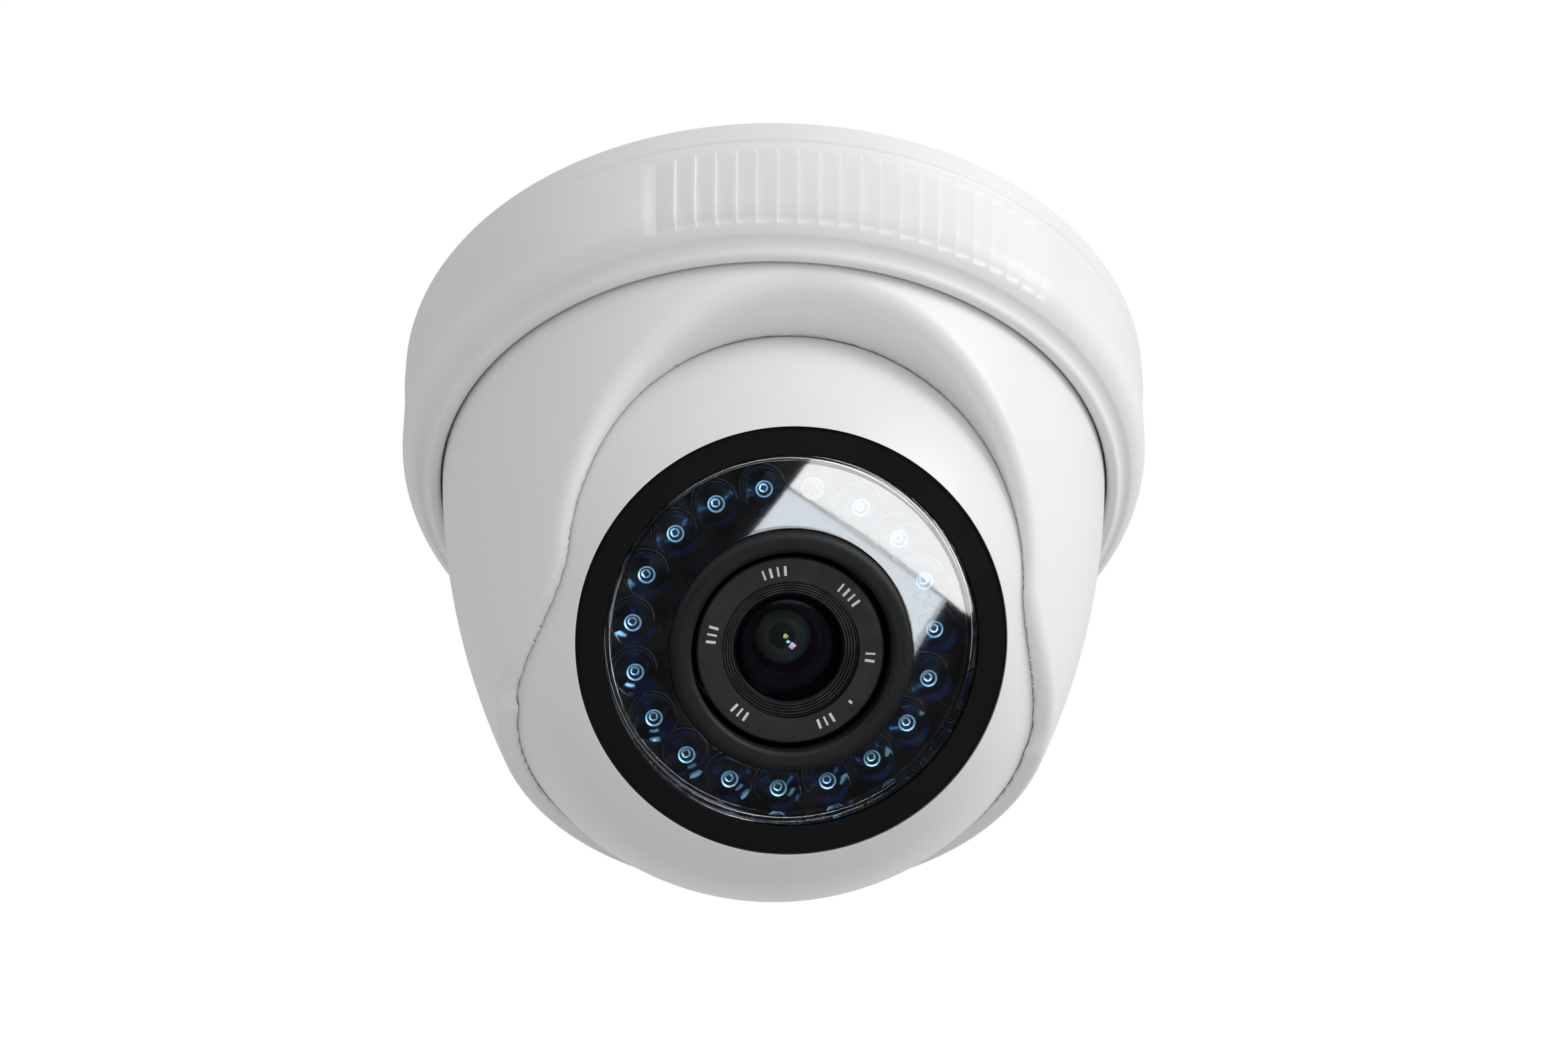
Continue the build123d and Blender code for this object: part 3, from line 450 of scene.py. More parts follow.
WHITE = moulded("white_abs", (0.80, 0.80, 0.79), (0.765, 0.765, 0.755))
WHITE_WARM = moulded("white_abs_warm", (0.79, 0.79, 0.775), (0.755, 0.752, 0.74))
GREY = moulded("grey_abs", (0.33, 0.33, 0.34), (0.28, 0.28, 0.29))
GLOSS_BLACK = moulded("gloss_black_abs", (0.006, 0.006, 0.007), (0.004, 0.004, 0.005),
                      rough=(0.34, 0.46), grain=1.2, depth=0.002, mottle=0.1)
MATTE_BLACK = moulded("matte_black_abs", (0.006, 0.007, 0.009), (0.003, 0.003, 0.005),
                      rough=(0.38, 0.55), grain=4.0, depth=0.02, mottle=0.3)
RUBBER = moulded("black_rubber_soft", (0.014, 0.015, 0.016), (0.009, 0.0095, 0.010),
                 rough=(0.48, 0.62), grain=4.5, depth=0.02, mottle=0.15)
LABEL = moulded("label_anodised", (0.020, 0.021, 0.022), (0.014, 0.015, 0.016),
                rough=(0.36, 0.48), grain=5.0, depth=0.008, mottle=0.4)
BARREL = moulded("barrel_black", (0.010, 0.010, 0.011), (0.006, 0.006, 0.007),
                 rough=(0.30, 0.42), grain=5.0, depth=0.008, mottle=0.4)
PAINT = moulded("marking_paint", (0.78, 0.79, 0.80), (0.66, 0.67, 0.68),
                rough=(0.5, 0.6), grain=6.0, depth=0.01, mottle=0.8)
SILVER = metal("leadframe_silver", (0.93, 0.95, 0.97), (0.80, 0.84, 0.88), rough=(0.16, 0.3))
STEEL = metal("screw_zinc", (0.62, 0.63, 0.65), (0.50, 0.51, 0.53))
BRASS = metal("standoff_brass", (0.72, 0.56, 0.30), (0.60, 0.45, 0.22))
GLOSS_BLACK.node_tree.nodes["Principled BSDF"].inputs["Specular IOR Level"].default_value = 0.14
LAMP_BLUE = moulded("lamp_blue_depth", (0.04, 0.20, 0.60), (0.02, 0.12, 0.44),
                    rough=(0.25, 0.4), grain=2.0, depth=0.01, mottle=0.5)
# Pale ring round each lamp's base: a painted highlight standing in for the thin bright reflections along the
# lamp's edge, not a frosted finish.
LAMP_RIM_HIGHLIGHT = moulded("lamp_rim_painted_highlight", (0.42, 0.47, 0.52), (0.20, 0.24, 0.28),
                   rough=(0.15, 0.3), grain=1.0, depth=0.01, mottle=0.25)
CHIP = moulded("lamp_die", (0.06, 0.07, 0.09), (0.03, 0.04, 0.06),
               rough=(0.25, 0.35), grain=8.0, depth=0.004, mottle=1.0)
WINDOW = see_through("window_clear", (0.97, 0.985, 0.99), (1, 1, 1), 1.52, haze=0.012)
EPOXY = lamp_epoxy()
CELL = moulded("photocell_ceramic", (0.42, 0.66, 0.62), (0.62, 0.46, 0.44), rough=(0.3, 0.5), mottle=0.6)

# ---------------------------------------------------------------- trim ring
RING_BORE_R = 45.0
RING_LEDGE_Z = -10.5
RING_THROAT_R = 43.5
RING_THROAT_Z = -16.7
MOUTH_R = 41.55
LIP_TURN = (43.1, -18.75)
shoulder_centre = (RING_WALL_R - SHOULDER_R, SHOULDER_Z)
shoulder_end = arc(shoulder_centre, SHOULDER_R, -50, -50, 1)[0]
wall_stations = [RIB_TOP_Z + 0.55 - 0.28 * k for k in range(30)]
ring_outline = (
    rounded([(RING_BORE_R, RING_LEDGE_Z, 0), (RING_BORE_R, -0.3, 0.2), (46.45, -0.3, 0.5),
             (RING_R, -2.0, 0)])[1:-1]
    + [(RING_R, -0.9), (RING_R - 0.02, -3.45), (RING_R - 0.06, -3.62), (RING_R - 0.18, -3.78),
       (RING_WALL_R + 0.13, -3.92), (RING_WALL_R + 0.12, -4.2)]
    + [(RING_WALL_R + 0.1 * (z - SHOULDER_Z) / 8.3, z) for z in wall_stations if z > SHOULDER_Z]
    + arc(shoulder_centre, SHOULDER_R, 0, -50, 22)
    + arc_through(shoulder_end, (43.65, -17.83), LIP_TURN, 9)[1:]
    + arc_through(LIP_TURN, (42.3, -19.25), (MOUTH_R, -18.5), 10)[1:]
    + [(MOUTH_R, -18.1), (41.7, RING_THROAT_Z), (RING_THROAT_R, RING_THROAT_Z),
       (RING_THROAT_R, RING_LEDGE_Z), (RING_BORE_R, RING_LEDGE_Z)]
)


FLUTE_LEAST_R = 44.9      # only the outer wall is fluted
FLUTE_RISE = 0.9          # share of the pitch over which a tooth rises
FLUTE_FADE = 0.3          # height over which the flutes run out


def flute_radius(r, h, angle):
    """The ring's outer radius, cut by saw-tooth flutes in two opposite groups."""
    if r < FLUTE_LEAST_R or h > RIB_TOP_Z or h < RIB_FOOT_Z - FLUTE_FADE:
        return r
    from_front = (90 + angle * 180 / pi - RIB_START) % 180
    if from_front > RIB_PITCH * RIB_COUNT:
        return r
    share = from_front / RIB_PITCH % 1
    low = 1.0 - min(share / FLUTE_RISE, 1.0)
    fall = (RIB_TOP_Z - h) / (RIB_TOP_Z - RIB_FOOT_Z)
    depth = RIB_TOP_DEPTH + (RIB_FOOT_DEPTH - RIB_TOP_DEPTH) * fall
    fade = min(1.0, (RIB_TOP_Z - h) / FLUTE_FADE,
               max(0.0, (h - RIB_FOOT_Z + FLUTE_FADE) / (2 * FLUTE_FADE)))
    return r - depth * low * fade


def ring_angles():
    """Angles round the ring, close together where it is ribbed."""
    in_rib = (0.0, 0.04, 0.08, 0.2, 0.35, 0.5, 0.65, 0.8, 0.9, 0.96)
    angles = []
    for group in (0, 180):
        first = group + RIB_START - 90
        for k in range(RIB_COUNT):
            angles += [first + RIB_PITCH * (k + share) for share in in_rib]
        ribs_end = first + RIB_PITCH * RIB_COUNT
        gap = 180 - RIB_PITCH * RIB_COUNT
        steps = ceil(gap / 1.2)
        angles += [ribs_end + gap * k / steps for k in range(steps)]
    return [radians(a) for a in angles]


make_piece("trim_ring_skin",
           turned(ring_outline, radius_at=flute_radius, angles=ring_angles()),
           UPRIGHT, "trim_ring", WHITE, ["trim_ring"], sharp=50)

# ---------------------------------------------------------------- collar
COVER_TOP = (41.3, -18.7)
COVER_MID = (38.95, -36.0)
COVER_FOOT = (33.3, -54.5)
COVER_LOW_Z = -56.1
COLLAR_TOP_Z = -14.8
FLANGE_R = 43.2
FLANGE_T = 1.6
SLOT_HALF = 2.08
SLOT_REACH = 37.35
NET_CELL = 0.5
TUNNEL_BACK_EDGE = 3.0
FOOT_EDGE = 0.9
INNER_EDGE = 0.3
BORE_R = 39.2
BORE_DRAFT = 0.045
WAIST_Z = -23.0           # below here the hollow narrows faster
WAIST_DRAFT = 0.34
HOLLOW_FOOT_Z = -34.2
EASE_LOW_H = 9.0          # heights over the ball's middle where the extra room sets in
EASE_RISE = 10.0
SLOT_TOP_H = 8.0


cover_x, cover_z, cover_radius = circle_through(COVER_TOP, COVER_MID, COVER_FOOT)


def both(a, b, radius):
    """What two solids share, with the edge between them rounded."""
    outside = np.hypot(np.maximum(radius + a, 0), np.maximum(radius + b, 0))
    return np.minimum(-radius, np.maximum(a, b)) + outside


def arch_space(x, z):
    """Distance to the tunnel that the arch leaves open, negative inside it."""
    side = np.abs(x)
    drop = z - ARCH_Z
    round_top = np.hypot(x, drop) - ARCH_R
    flare = ARCH_FLARE - np.hypot(side - ARCH_R - ARCH_FLARE, drop)
    beyond = drop + ARCH_FLARE
    below = np.where(side < ARCH_R + ARCH_FLARE, flare, beyond)
    return np.where(drop > 0, round_top, below)


def collar_field(x, y, z):
    """Distance to the collar: a turned cover with the arch cut through its front."""
    r = np.hypot(x, y)
    cover = np.hypot(r - cover_x, z - cover_z) - cover_radius
    tunnel = both(arch_space(x, z), y, TUNNEL_BACK_EDGE)
    ease = SOCKET_EASE * np.clip((z - BALL.z - EASE_LOW_H) / EASE_RISE, 0, 1)
    ball = np.sqrt(x**2 + y**2 + (z - BALL.z) ** 2) - SOCKET_R - ease
    solid = both(cover, -tunnel, ARCH_LIP)
    solid = both(solid, COVER_LOW_Z - z, FOOT_EDGE)
    bore = BORE_R - BORE_DRAFT * (COLLAR_TOP_Z - z) - np.maximum(WAIST_Z - z, 0) * WAIST_DRAFT
    hollow = both(both(r - bore, HOLLOW_FOOT_Z - z, INNER_EDGE), ARCH_WEB - tunnel, INNER_EDGE)
    shell = both(solid, -hollow, 0.4)
    shell = both(shell, -ball, 0.15)
    flange = np.maximum(np.abs(z - COLLAR_TOP_Z + FLANGE_T / 2) - FLANGE_T / 2,
                        np.maximum(r - FLANGE_R, BORE_R - r))
    shell = np.minimum(both(shell, z - COLLAR_TOP_Z, 0.2), flange)
    slot = np.hypot(y, np.minimum(z - BALL.z, 0)) - SLOT_HALF
    slot = np.maximum(np.maximum(slot, z - BALL.z - SLOT_TOP_H), np.abs(x) - SLOT_REACH)
    return np.maximum(shell, -slot)


low, high = (Vector(v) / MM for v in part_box("collar_cover"))
margin = Vector((1.3, 1.3, 1.3))
make_piece("collar_skin", surface_net(collar_field, low - margin, high + margin, NET_CELL),
           UPRIGHT, "collar", WHITE, ["collar_cover"], sharp=180)

# ---------------------------------------------------------------- ball
LEDGE_H = 22.2
LEDGE_R = 23.4
LEDGE_FOOT_H = 20.6
PIN_R = 2.0
PIN_ROOT = 34.3
PIN_END = 37.1
PIN_BEVEL = 0.3

front_outline = (
    on_sphere(BALL_R, SPLIT_H + 0.12, FACE_H - 0.1, 64)
    + [(BEZEL_R + 0.18, FACE_H - 0.02), (BEZEL_R + 0.13, FACE_H)]
    + [(BEZEL_R + 0.1, FACE_H - 0.1), (BEZEL_R + 0.1, LEDGE_H), (LEDGE_R, LEDGE_H),
       (LEDGE_R, LEDGE_FOOT_H)]
    + on_sphere(SHELL_IN_R, LEDGE_FOOT_H, 6.5, 24)
    + [(31.2, 6.5), (31.2, -1.2), (23.6, -1.2), (23.6, -3.0), (32.95, -3.0), (32.95, SPLIT_H),
       (35.1, SPLIT_H)]
)
make_piece("eyeball_front_skin", turned(front_outline), BALL_SEAT, "eyeball", WHITE_WARM,
           ["front_shell"])

rear_outline = (
    on_sphere(BALL_R, REAR_H + 0.15, SPLIT_H - 0.4, 72)
    + [(35.1, SPLIT_H - 0.25), (33.15, SPLIT_H - 0.25), (33.15, -3.2), (27.5, -3.2), (27.5, -4.6)]
    + on_sphere(SHELL_IN_R, -4.6, REAR_H + 2.0, 24)
    + [(6.0, REAR_H + 2.0), (6.0, REAR_H), (24.4, REAR_H)]
)


def pivot_pin(side):
    """A pivot pin that stands out of the ball's side."""
    reach = PIN_END - PIN_ROOT
    outline = [(PIN_R, 0.0), (PIN_R, reach - PIN_BEVEL), (PIN_R - PIN_BEVEL, reach), (0, reach)]
    place = Matrix.Translation((side * PIN_ROOT, 0, 0)) @ Matrix.Rotation(side * pi / 2, 4, "Y")
    return moved(turned([(0, 0), *outline], SMALL, closed=False), place)


make_piece("eyeball_rear_skin", joined([turned(rear_outline), pivot_pin(1), pivot_pin(-1)]),
           BALL_SEAT, "ball_rear", WHITE_WARM, ["rear_shell"])

# ---------------------------------------------------------------- bezel and window
bezel_outline = rounded([
    (BEZEL_IN_R, 22.75, 0.1), (BEZEL_R, 22.75, 0.1), (BEZEL_R, FACE_H - 0.1, 0.35),
    (BEZEL_IN_R, FACE_H - 0.1, 0.15),
])
make_piece("bezel_gloss", turned(bezel_outline), BALL_SEAT, "eyeball", GLOSS_BLACK,
           ["bezel_ring"])

WINDOW_R = BEZEL_IN_R - 0.05
WINDOW_H = FACE_H - 0.35
WINDOW_T = 1.5
WINDOW_HOLE_R = SHROUD_R + 0.05
SKIRT_IN_R = 20.97
SKIRT_R = 21.67
SKIRT_FOOT_H = 20.2
window_outline = rounded([
    (WINDOW_HOLE_R, WINDOW_H - WINDOW_T, 0.1), (SKIRT_IN_R, WINDOW_H - WINDOW_T, 0.3),
    (SKIRT_IN_R, SKIRT_FOOT_H, 0.15), (SKIRT_R, SKIRT_FOOT_H, 0.15),
    (SKIRT_R, WINDOW_H - WINDOW_T, 0.1),
    (WINDOW_R, WINDOW_H - WINDOW_T, 0.05), (WINDOW_R, WINDOW_H, 0.3), (WINDOW_HOLE_R, WINDOW_H, 0.15),
])
make_piece("window_pane", turned(window_outline, shift=lambda r: -LENS_DROP if r < 15 else 0.0),
           BALL_SEAT, "eyeball", WINDOW, ["front_window"])

# ---------------------------------------------------------------- lamps
lamp_spacing = 360 / (LAMP_COUNT + 1)
lamp_angles = [radians(PHOTOCELL_ANGLE + lamp_spacing * (k + 1)) for k in range(LAMP_COUNT)]
lamp_places = [
    Matrix.Translation((LAMP_RING_R * cos(a), LAMP_RING_R * sin(a), LAMP_BASE_H)) for a in lamp_angles
]
FLANGE_EDGE_R = 2.58
FLANGE_TOP = 0.95
dome_h = LAMP_TIP_H - LAMP_BASE_H - LAMP_R
lamp_outline = (
    [(0, 0), (LAMP_R, 0), (FLANGE_EDGE_R, 0.1), (FLANGE_EDGE_R, FLANGE_TOP), (LAMP_R + 0.04, 1.05),
     (LAMP_R, 1.15), (LAMP_R, 3.0)]
    + arc((0, dome_h), LAMP_R, 0, 90, 16)
)
lamp_outline[-1] = (0, dome_h + LAMP_R)
make_piece("lamp_domes",
           joined(moved(turned(lamp_outline, SMALL, closed=False), place) for place in lamp_places),
           LENS_SEAT, "eyeball", EPOXY, ["led_lamps"], sharp=60)

CUP_H = 5.0
RIM_IN_R = 2.6
RIM_R = 2.79
RIM_T = 1.05
LEAD_TURN = 1.1           # how far each leadframe is turned from the ring's radius, in radians
DIE_HALF = 0.13
cup_outline = [(0, CUP_H - 0.28), (0.24, CUP_H - 0.28), (0.40, CUP_H), (0.50, CUP_H),
               (0.88, CUP_H - 0.42), (0.93, CUP_H - 0.6), (0.9, CUP_H - 1.4), (0.3, CUP_H - 1.9),
               (0, CUP_H - 1.9)]
depth_outline = [(0, 1.4), (2.0, 1.4), (2.3, 1.9), (2.35, 1.2), (0, 1.2)]
rim_outline = rounded([(RIM_IN_R, 0.0, 0), (RIM_R, 0.0, 0), (RIM_R, RIM_T, 0.08), (RIM_IN_R, RIM_T, 0.08)],
                      steps=3)


def post(x, y, width, depth, top):
    """A flat lead that rises from the lamp's base."""
    corners = [(x - width / 2, y - depth / 2), (x + width / 2, y - depth / 2),
               (x + width / 2, y + depth / 2), (x - width / 2, y + depth / 2)]
    return prism(corners, 0.0, top, 0.08)


square = [(DIE_HALF, DIE_HALF), (-DIE_HALF, DIE_HALF), (-DIE_HALF, -DIE_HALF), (DIE_HALF, -DIE_HALF)]
leadframes, dies, depths, rims = [], [], [], []
for angle, place in zip(lamp_angles, lamp_places):
    turn = Matrix.Rotation(angle + LEAD_TURN, 4, "Z")
    leadframes.append(moved(joined([
        turned(cup_outline, 32, closed=False),
        post(0, 0, 0.62, 0.5, CUP_H - 1.6),
        post(1.35, 0, 0.75, 0.6, CUP_H - 0.35),
    ]), place @ turn))
    depths.append(moved(turned(depth_outline, 32, closed=False), place))
    rims.append(moved(turned(rim_outline, SMALL), place))
    dies.append(moved(prism(square, CUP_H - 0.3, CUP_H - 0.14, 0.02), place @ turn))
make_piece("lamp_leadframes", joined(leadframes), LENS_SEAT, "eyeball", SILVER,
           ["led_cups"])
make_piece("lamp_dies", joined(dies), LENS_SEAT, "eyeball", CHIP)
make_piece("lamp_depths", joined(depths), LENS_SEAT, "eyeball", LAMP_BLUE)
# The pale rings are a painted highlight, for the bright reflections at the lamps' edges.
make_piece("lamp_rims", joined(rims), LENS_SEAT, "eyeball", LAMP_RIM_HIGHLIGHT)

# The photocell is a ceramic disc in a dark cup, with a track that runs up and down its face.
CELL_R = 1.62
CELL_FACE_H = 13.75
cell_angle = radians(PHOTOCELL_ANGLE)
cell_place = Matrix.Translation((LAMP_RING_R * cos(cell_angle), LAMP_RING_R * sin(cell_angle), 0))
cell_body = [(0, LAMP_BASE_H), (CELL_R, LAMP_BASE_H), (CELL_R, CELL_FACE_H + 0.1),
             (CELL_R - 0.12, CELL_FACE_H + 0.13), (CELL_R - 0.16, CELL_FACE_H - 0.02), (0, CELL_FACE_H - 0.02)]
cell_face = [(0, CELL_FACE_H - 0.1), (CELL_R - 0.2, CELL_FACE_H - 0.1), (CELL_R - 0.2, CELL_FACE_H),
             (CELL_R - 0.3, CELL_FACE_H + 0.03), (0, CELL_FACE_H + 0.03)]
TRACK_RUNS = 6
TRACK_PITCH = 0.36
TRACK_HALF = 0.07
track = []
for k in range(TRACK_RUNS):
    x = TRACK_PITCH * (k - (TRACK_RUNS - 1) / 2)
    reach = 0.62 * sqrt(1.6 - x * x)
    left, right = x - TRACK_HALF, x + TRACK_HALF
    bar = [(left, -reach), (right, -reach), (right, reach), (left, reach)]
    track.append(prism(bar, CELL_FACE_H, CELL_FACE_H + TRACK_HALF))
    if k < TRACK_RUNS - 1:
        end = reach if k % 2 else -reach
        link = [(x, end - TRACK_HALF), (x + TRACK_PITCH, end - TRACK_HALF),
                (x + TRACK_PITCH, end + TRACK_HALF), (x, end + TRACK_HALF)]
        track.append(prism(link, CELL_FACE_H, CELL_FACE_H + TRACK_HALF))
make_piece("photocell_body", moved(turned(cell_body, SMALL, closed=False), cell_place), LENS_SEAT,
           "eyeball", MATTE_BLACK, ["photocell"])
make_piece("photocell_ceramic", moved(turned(cell_face, SMALL, closed=False), cell_place), LENS_SEAT,
           "eyeball", CELL)
make_piece("photocell_track", moved(joined(track), cell_place), LENS_SEAT, "eyeball", BARREL)

# ---------------------------------------------------------------- shroud and lens
SHROUD_TOP_H = 26.4
shroud_outline = rounded([
    (SHROUD_IN_R, LAMP_BASE_H, 0), (SHROUD_R, LAMP_BASE_H, 0), (SHROUD_R, SHROUD_TOP_H, 1.3),
    (SHROUD_IN_R, SHROUD_TOP_H, 0.7),
], steps=9)
make_piece("shroud_rubber", turned(shroud_outline), LENS_SEAT, "eyeball", RUBBER,
           ["lens_shroud"])

BAFFLE_STEPS = 5
baffle = []
for k in range(BAFFLE_STEPS):
    r = 8.1 - 0.32 * k
    h = 23.45 - 0.17 * k
    baffle += [(r, h), (r - 0.06, h - 0.2), (r - 0.24, h - 0.2), (r - 0.30, h - 0.08)]
barrel_outline = [(4.6, 6.0), (5.97, 6.0), (5.97, 15.0), (9.4, 15.0), (LENS_HEAD_R - 0.15, 16.9),
                  (LENS_HEAD_R, 17.1), (LENS_HEAD_R, 23.4), (8.3, 23.4)]
barrel_outline += baffle + [(GLASS_R + 0.05, 22.5), (GLASS_R + 0.05, 19.0), (4.6, 17.0)]
make_piece("lens_barrel_skin", turned(barrel_outline), LENS_SEAT, "lens", BARREL,
           ["lens_barrel"])

label_outline = rounded([(8.15, 23.4, 0), (LENS_HEAD_R, 23.4, 0), (LENS_HEAD_R, LENS_HEAD_H, 0.28),
                         (8.0, LENS_HEAD_H, 0.12)])
make_piece("label_ring", turned(label_outline), LENS_SEAT, "lens", LABEL,
           ["lens_label_ring"])

# Blank marks: groups of short radial dashes and one small tick, as (angle, dashes).
MARK_R = 9.35
MARK_GROUPS = [(107.4, 4), (49.2, 4), (0, 2), (-35.6, 1), (-58, 3), (-123.6, 3), (173.9, 3)]
MARK_SPACING = 5.2
marks = []
for angle, count in MARK_GROUPS:
    for k in range(count):
        at = Matrix.Rotation(radians(angle + MARK_SPACING * (k - (count - 1) / 2)), 4, "Z")
        length = 0.5 if count == 1 else 1.15
        half = 0.12 if k % 2 else 0.16
        corners = [(MARK_R - length / 2, -half), (MARK_R + length / 2, -half),
                   (MARK_R + length / 2, half), (MARK_R - length / 2, half)]
        marks.append(moved(prism(corners, LENS_HEAD_H - 0.02, LENS_HEAD_H + 0.02), at))
make_piece("label_marks", joined(marks), LENS_SEAT, "lens", PAINT)

# ---------------------------------------------------------------- lens glasses
GLASS_TOP_H = 23.2
GLASS_CURVE_R = 12.0
GLASS = see_through("front_glass_coated", (0.93, 0.93, 0.98), (0.80, 0.62, 1.0), 1.7, haze=0.004)
GLASS_TEAL = see_through("second_glass_coated", (0.85, 0.95, 0.95), (0.35, 0.85, 0.90), 2.0, haze=0.004)
GLASS_GREEN = see_through("third_glass_coated", (0.9, 0.95, 0.8), (0.75, 0.95, 0.25), 2.0, haze=0.004)


def dome(radius, top, curve, steps=14):
    """Points from the edge of a domed glass face to its middle."""
    edge = atan2(sqrt(curve**2 - radius**2), radius)
    points = [(curve * cos(a), top - curve + curve * sin(a))
              for a in (edge + (pi / 2 - edge) * k / steps for k in range(steps))]
    return [*points, (0, top)]


make_piece("front_glass", turned(dome(GLASS_R, GLASS_TOP_H, GLASS_CURVE_R), 96, closed=False),
           LENS_SEAT, "lens", GLASS, ["front_lens"])
make_piece("second_glass", turned(dome(5.0, 19.2, 6.5), 96, closed=False),
           LENS_SEAT, "lens", GLASS_TEAL, ["middle_lens"])
make_piece("third_glass", turned(dome(4.4, 15.4, 9.0), 96, closed=False),
           LENS_SEAT, "lens", GLASS_GREEN, ["rear_lens"])

# ---------------------------------------------------------------- carried-over CAD nodes
BOARD = moulded("circuit_board_green", (0.02, 0.12, 0.05), (0.012, 0.085, 0.035), rough=(0.3, 0.45),
                grain=1.5, depth=0.01)
NYLON = moulded("connector_nylon", (0.72, 0.70, 0.62), (0.66, 0.64, 0.56))
SENSOR = moulded("sensor_cover", (0.03, 0.035, 0.05), (0.02, 0.022, 0.03), rough=(0.08, 0.15))
COIL = moulded("coil_winding", (0.05, 0.05, 0.06), (0.03, 0.03, 0.04))
FILTER = see_through("filter_coated", (0.9, 0.7, 0.75), (0.9, 0.3, 0.4), 1.9, haze=0.004)

SLOT_MATERIALS = {
    "white_plastic": WHITE, "grey_plastic": GREY, "black_rubber": RUBBER, "black_gloss": GLOSS_BLACK,
    "black_matte": MATTE_BLACK, "clear_window": WINDOW, "circuit_board": BOARD, "screw_steel": STEEL,
    "lamp_epoxy": EPOXY, "lamp_leadframe": SILVER, "photocell_face": CELL, "sensor_glass": SENSOR,
    "filter_glass": FILTER, "coil_body": COIL, "brass": BRASS, "connector_nylon": NYLON,
    "black_metal": BARREL, "label_black": LABEL, "lens_glass": GLASS,
}
slot_of = {part["node"]: part["material_slot"] for part in frame["record"]["subparts"]}
for node, obj in frame["nodes"].items():
    for k in range(len(obj.material_slots)):
        obj.material_slots[k].material = SLOT_MATERIALS[slot_of[node]]

# ---------------------------------------------------------------- camera, light and floor
CAMERA_BELOW = radians(40.33)
CAMERA_ASIDE = radians(7.6)
CAMERA_AWAY = 500.0
SENSOR_WIDTH = 36.0
FOCAL_LENGTH = 93.7
LOOK_FROM = Vector((0, 0, -34.0))
LOOK_OVER = (1.28, 7.98)  # the view's centre, right of and above that point

to_camera = Vector((
    -sin(CAMERA_ASIDE) * cos(CAMERA_BELOW), -cos(CAMERA_ASIDE) * cos(CAMERA_BELOW), -sin(CAMERA_BELOW)
))
camera_right = Vector((0, 0, 1)).cross(to_camera).normalized()
camera_up = to_camera.cross(camera_right)
camera_data = bpy.data.cameras.new("camera")
camera_data.sensor_width = SENSOR_WIDTH
camera_data.lens = FOCAL_LENGTH
camera = bpy.data.objects.new("camera", camera_data)
bpy.context.scene.collection.objects.link(camera)
camera.location = (LOOK_FROM + to_camera * CAMERA_AWAY) * MM
look_at = (LOOK_FROM + camera_right * LOOK_OVER[0] + camera_up * LOOK_OVER[1]) * MM
camera.rotation_euler = (look_at - camera.location).to_track_quat("-Z", "Y").to_euler()
camera_data.clip_start = 0.01
bpy.context.scene.camera = camera


def area_light(name, place, aim, size, power):
    """A soft rectangular lamp."""
    data = bpy.data.lights.new(name, "AREA")
    data.shape = "RECTANGLE"
    data.size, data.size_y = size
    data.energy = power
    lamp = bpy.data.objects.new(name, data)
    bpy.context.scene.collection.objects.link(lamp)
    lamp.location = place
    lamp.rotation_euler = (Vector(aim) - Vector(place)).to_track_quat("-Z", "Y").to_euler()
    lamp.visible_camera = False
    return lamp


area_light("key", (0.75, -0.75, 0.35), (0, 0, -0.03), (0.6, 0.6), 5.0)
front_light = area_light("front", (0.2, -1.2, -0.45), (0, 0, -0.03), (0.5, 0.5), 2.0)
front_light.visible_glossy = False

CARD_TURN = -29.8         # turn in the window's plane, in degrees
CARD_AWAY = 400.0         # distance from the window


def softbox_card(name, across, along, brightness, tint):
    """A lamp seen only in gloss, placed so that the main camera sees it mirrored in the window.

    across and along are the image's limits in the window's plane, right-down and right-up.
    """
    seat = BALL_SEAT @ Matrix.Translation((0, -LENS_DROP, WINDOW_H))
    window_at, outward = seat.translation, seat.to_3x3() @ Vector((0, 0, 1))
    eye = camera.location / MM
    mirrored_eye = eye - outward * 2 * (eye - window_at).dot(outward)
    tilt = Matrix.Rotation(radians(CARD_TURN), 3, "Z")
    middle = tilt @ Vector((sum(across) / 2, sum(along) / 2, 0))
    target = seat @ middle
    reach = 1 + CARD_AWAY / (target - mirrored_eye).length
    data = bpy.data.lights.new(name, "AREA")
    data.shape = "RECTANGLE"
    data.size = (across[1] - across[0]) * reach * MM
    data.size_y = (along[1] - along[0]) * reach * MM
    data.energy = brightness * pi * data.size * data.size_y
    data.color = tint
    card = bpy.data.objects.new(name, data)
    bpy.context.scene.collection.objects.link(card)
    turn = (seat.to_3x3() @ tilt).to_4x4()
    card.matrix_world = Matrix.Translation((mirrored_eye + (target - mirrored_eye) * reach) * MM) @ turn
    card.visible_camera = False
    card.visible_diffuse = False
    return card


softbox_card("softbox_far", (-11.6, 15.4), (15.9, 30.0), 10.5, (1.0, 1.0, 1.0))
softbox_card("softbox_near", (-11.6, 11.8), (4.0, 15.6), 9.0, (0.88, 0.94, 1.0))


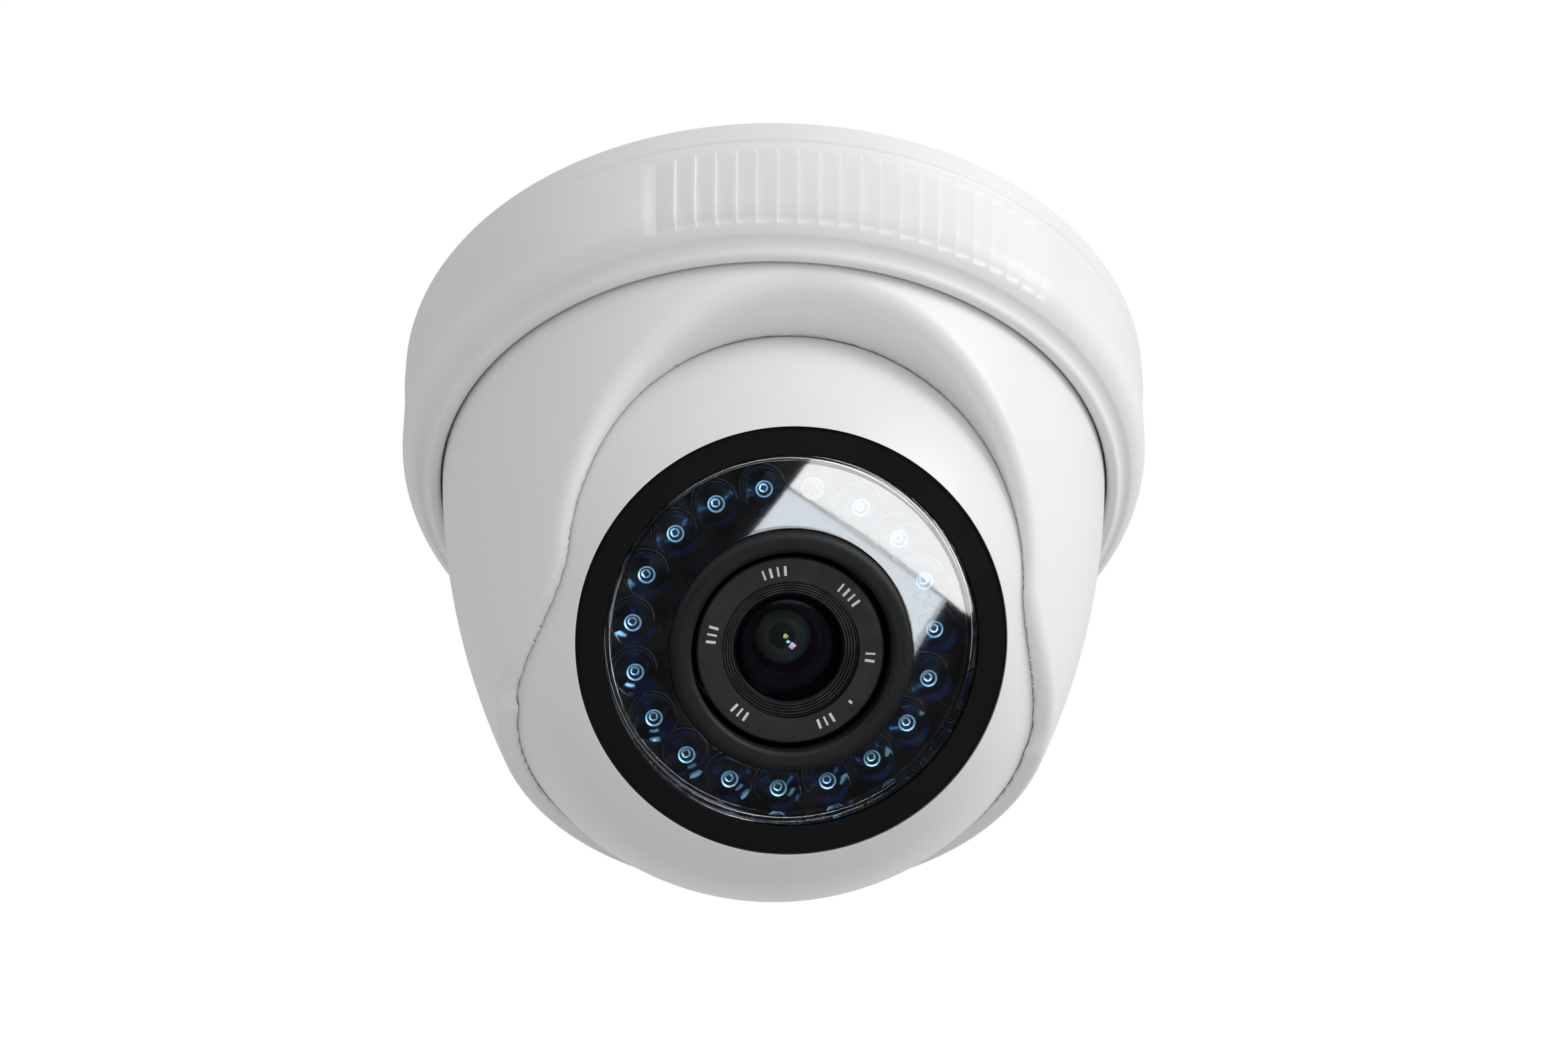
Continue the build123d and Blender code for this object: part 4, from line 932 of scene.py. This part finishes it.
def studio_world():
    """A sky that is brighter on the right and dark below, which the camera itself sees as white."""
    world = bpy.data.worlds.new("studio")
    bpy.context.scene.world = world
    world.use_nodes = True
    nodes, links = world.node_tree.nodes, world.node_tree.links
    place = nodes.new("ShaderNodeTexCoord")
    split = nodes.new("ShaderNodeSeparateXYZ")
    links.new(place.outputs["Generated"], split.inputs["Vector"])
    across = add_range(nodes, links, split.outputs["X"], 0.62, 1.08, -1.0, 1.0)
    upward = add_range(nodes, links, split.outputs["Z"], 0.06, 1.0, -0.12, 0.05)
    zenith = add_range(nodes, links, split.outputs["Z"], 1.0, 0.5, 0.4, 0.9)
    side = nodes.new("ShaderNodeMath")
    side.operation = "MULTIPLY"
    links.new(across, side.inputs[0])
    links.new(zenith, side.inputs[1])
    strength = nodes.new("ShaderNodeMath")
    strength.operation = "MULTIPLY"
    links.new(side.outputs["Value"], strength.inputs[0])
    links.new(upward, strength.inputs[1])
    sky = nodes["Background"]
    links.new(strength.outputs["Value"], sky.inputs["Strength"])
    sky.inputs["Color"].default_value = (0.98, 0.99, 1.0, 1)
    plain = nodes.new("ShaderNodeBackground")
    plain.inputs["Color"].default_value = (1, 1, 1, 1)
    plain.inputs["Strength"].default_value = 1.0
    path = nodes.new("ShaderNodeLightPath")
    mix = nodes.new("ShaderNodeMixShader")
    links.new(path.outputs["Is Camera Ray"], mix.inputs["Fac"])
    links.new(sky.outputs["Background"], mix.inputs[1])
    links.new(plain.outputs["Background"], mix.inputs[2])
    links.new(mix.outputs["Shader"], nodes["World Output"].inputs["Surface"])


def floor_plane():
    """A plain pale floor, well below the camera that hangs from the ceiling."""
    size, depth = 30.0, -0.75
    mesh = bpy.data.meshes.new("floor")
    mesh.from_pydata([(-size, -size, depth), (size, -size, depth), (size, size, depth),
                      (-size, size, depth)], [], [(0, 1, 2, 3)])
    material, nodes, links, shader = new_material("floor_pale")
    speck = add_noise(nodes, links, 0.01, detail=3.0)
    links.new(add_blend(nodes, links, speck, (0.80, 0.80, 0.80), (0.84, 0.84, 0.84)),
              shader.inputs["Base Color"])
    shader.inputs["Roughness"].default_value = 0.9
    mesh.materials.append(material)
    floor = bpy.data.objects.new("floor", mesh)
    bpy.context.scene.collection.objects.link(floor)
    floor.visible_glossy = False


studio_world()
floor_plane()

bpy.context.scene.view_settings.view_transform = "Standard"
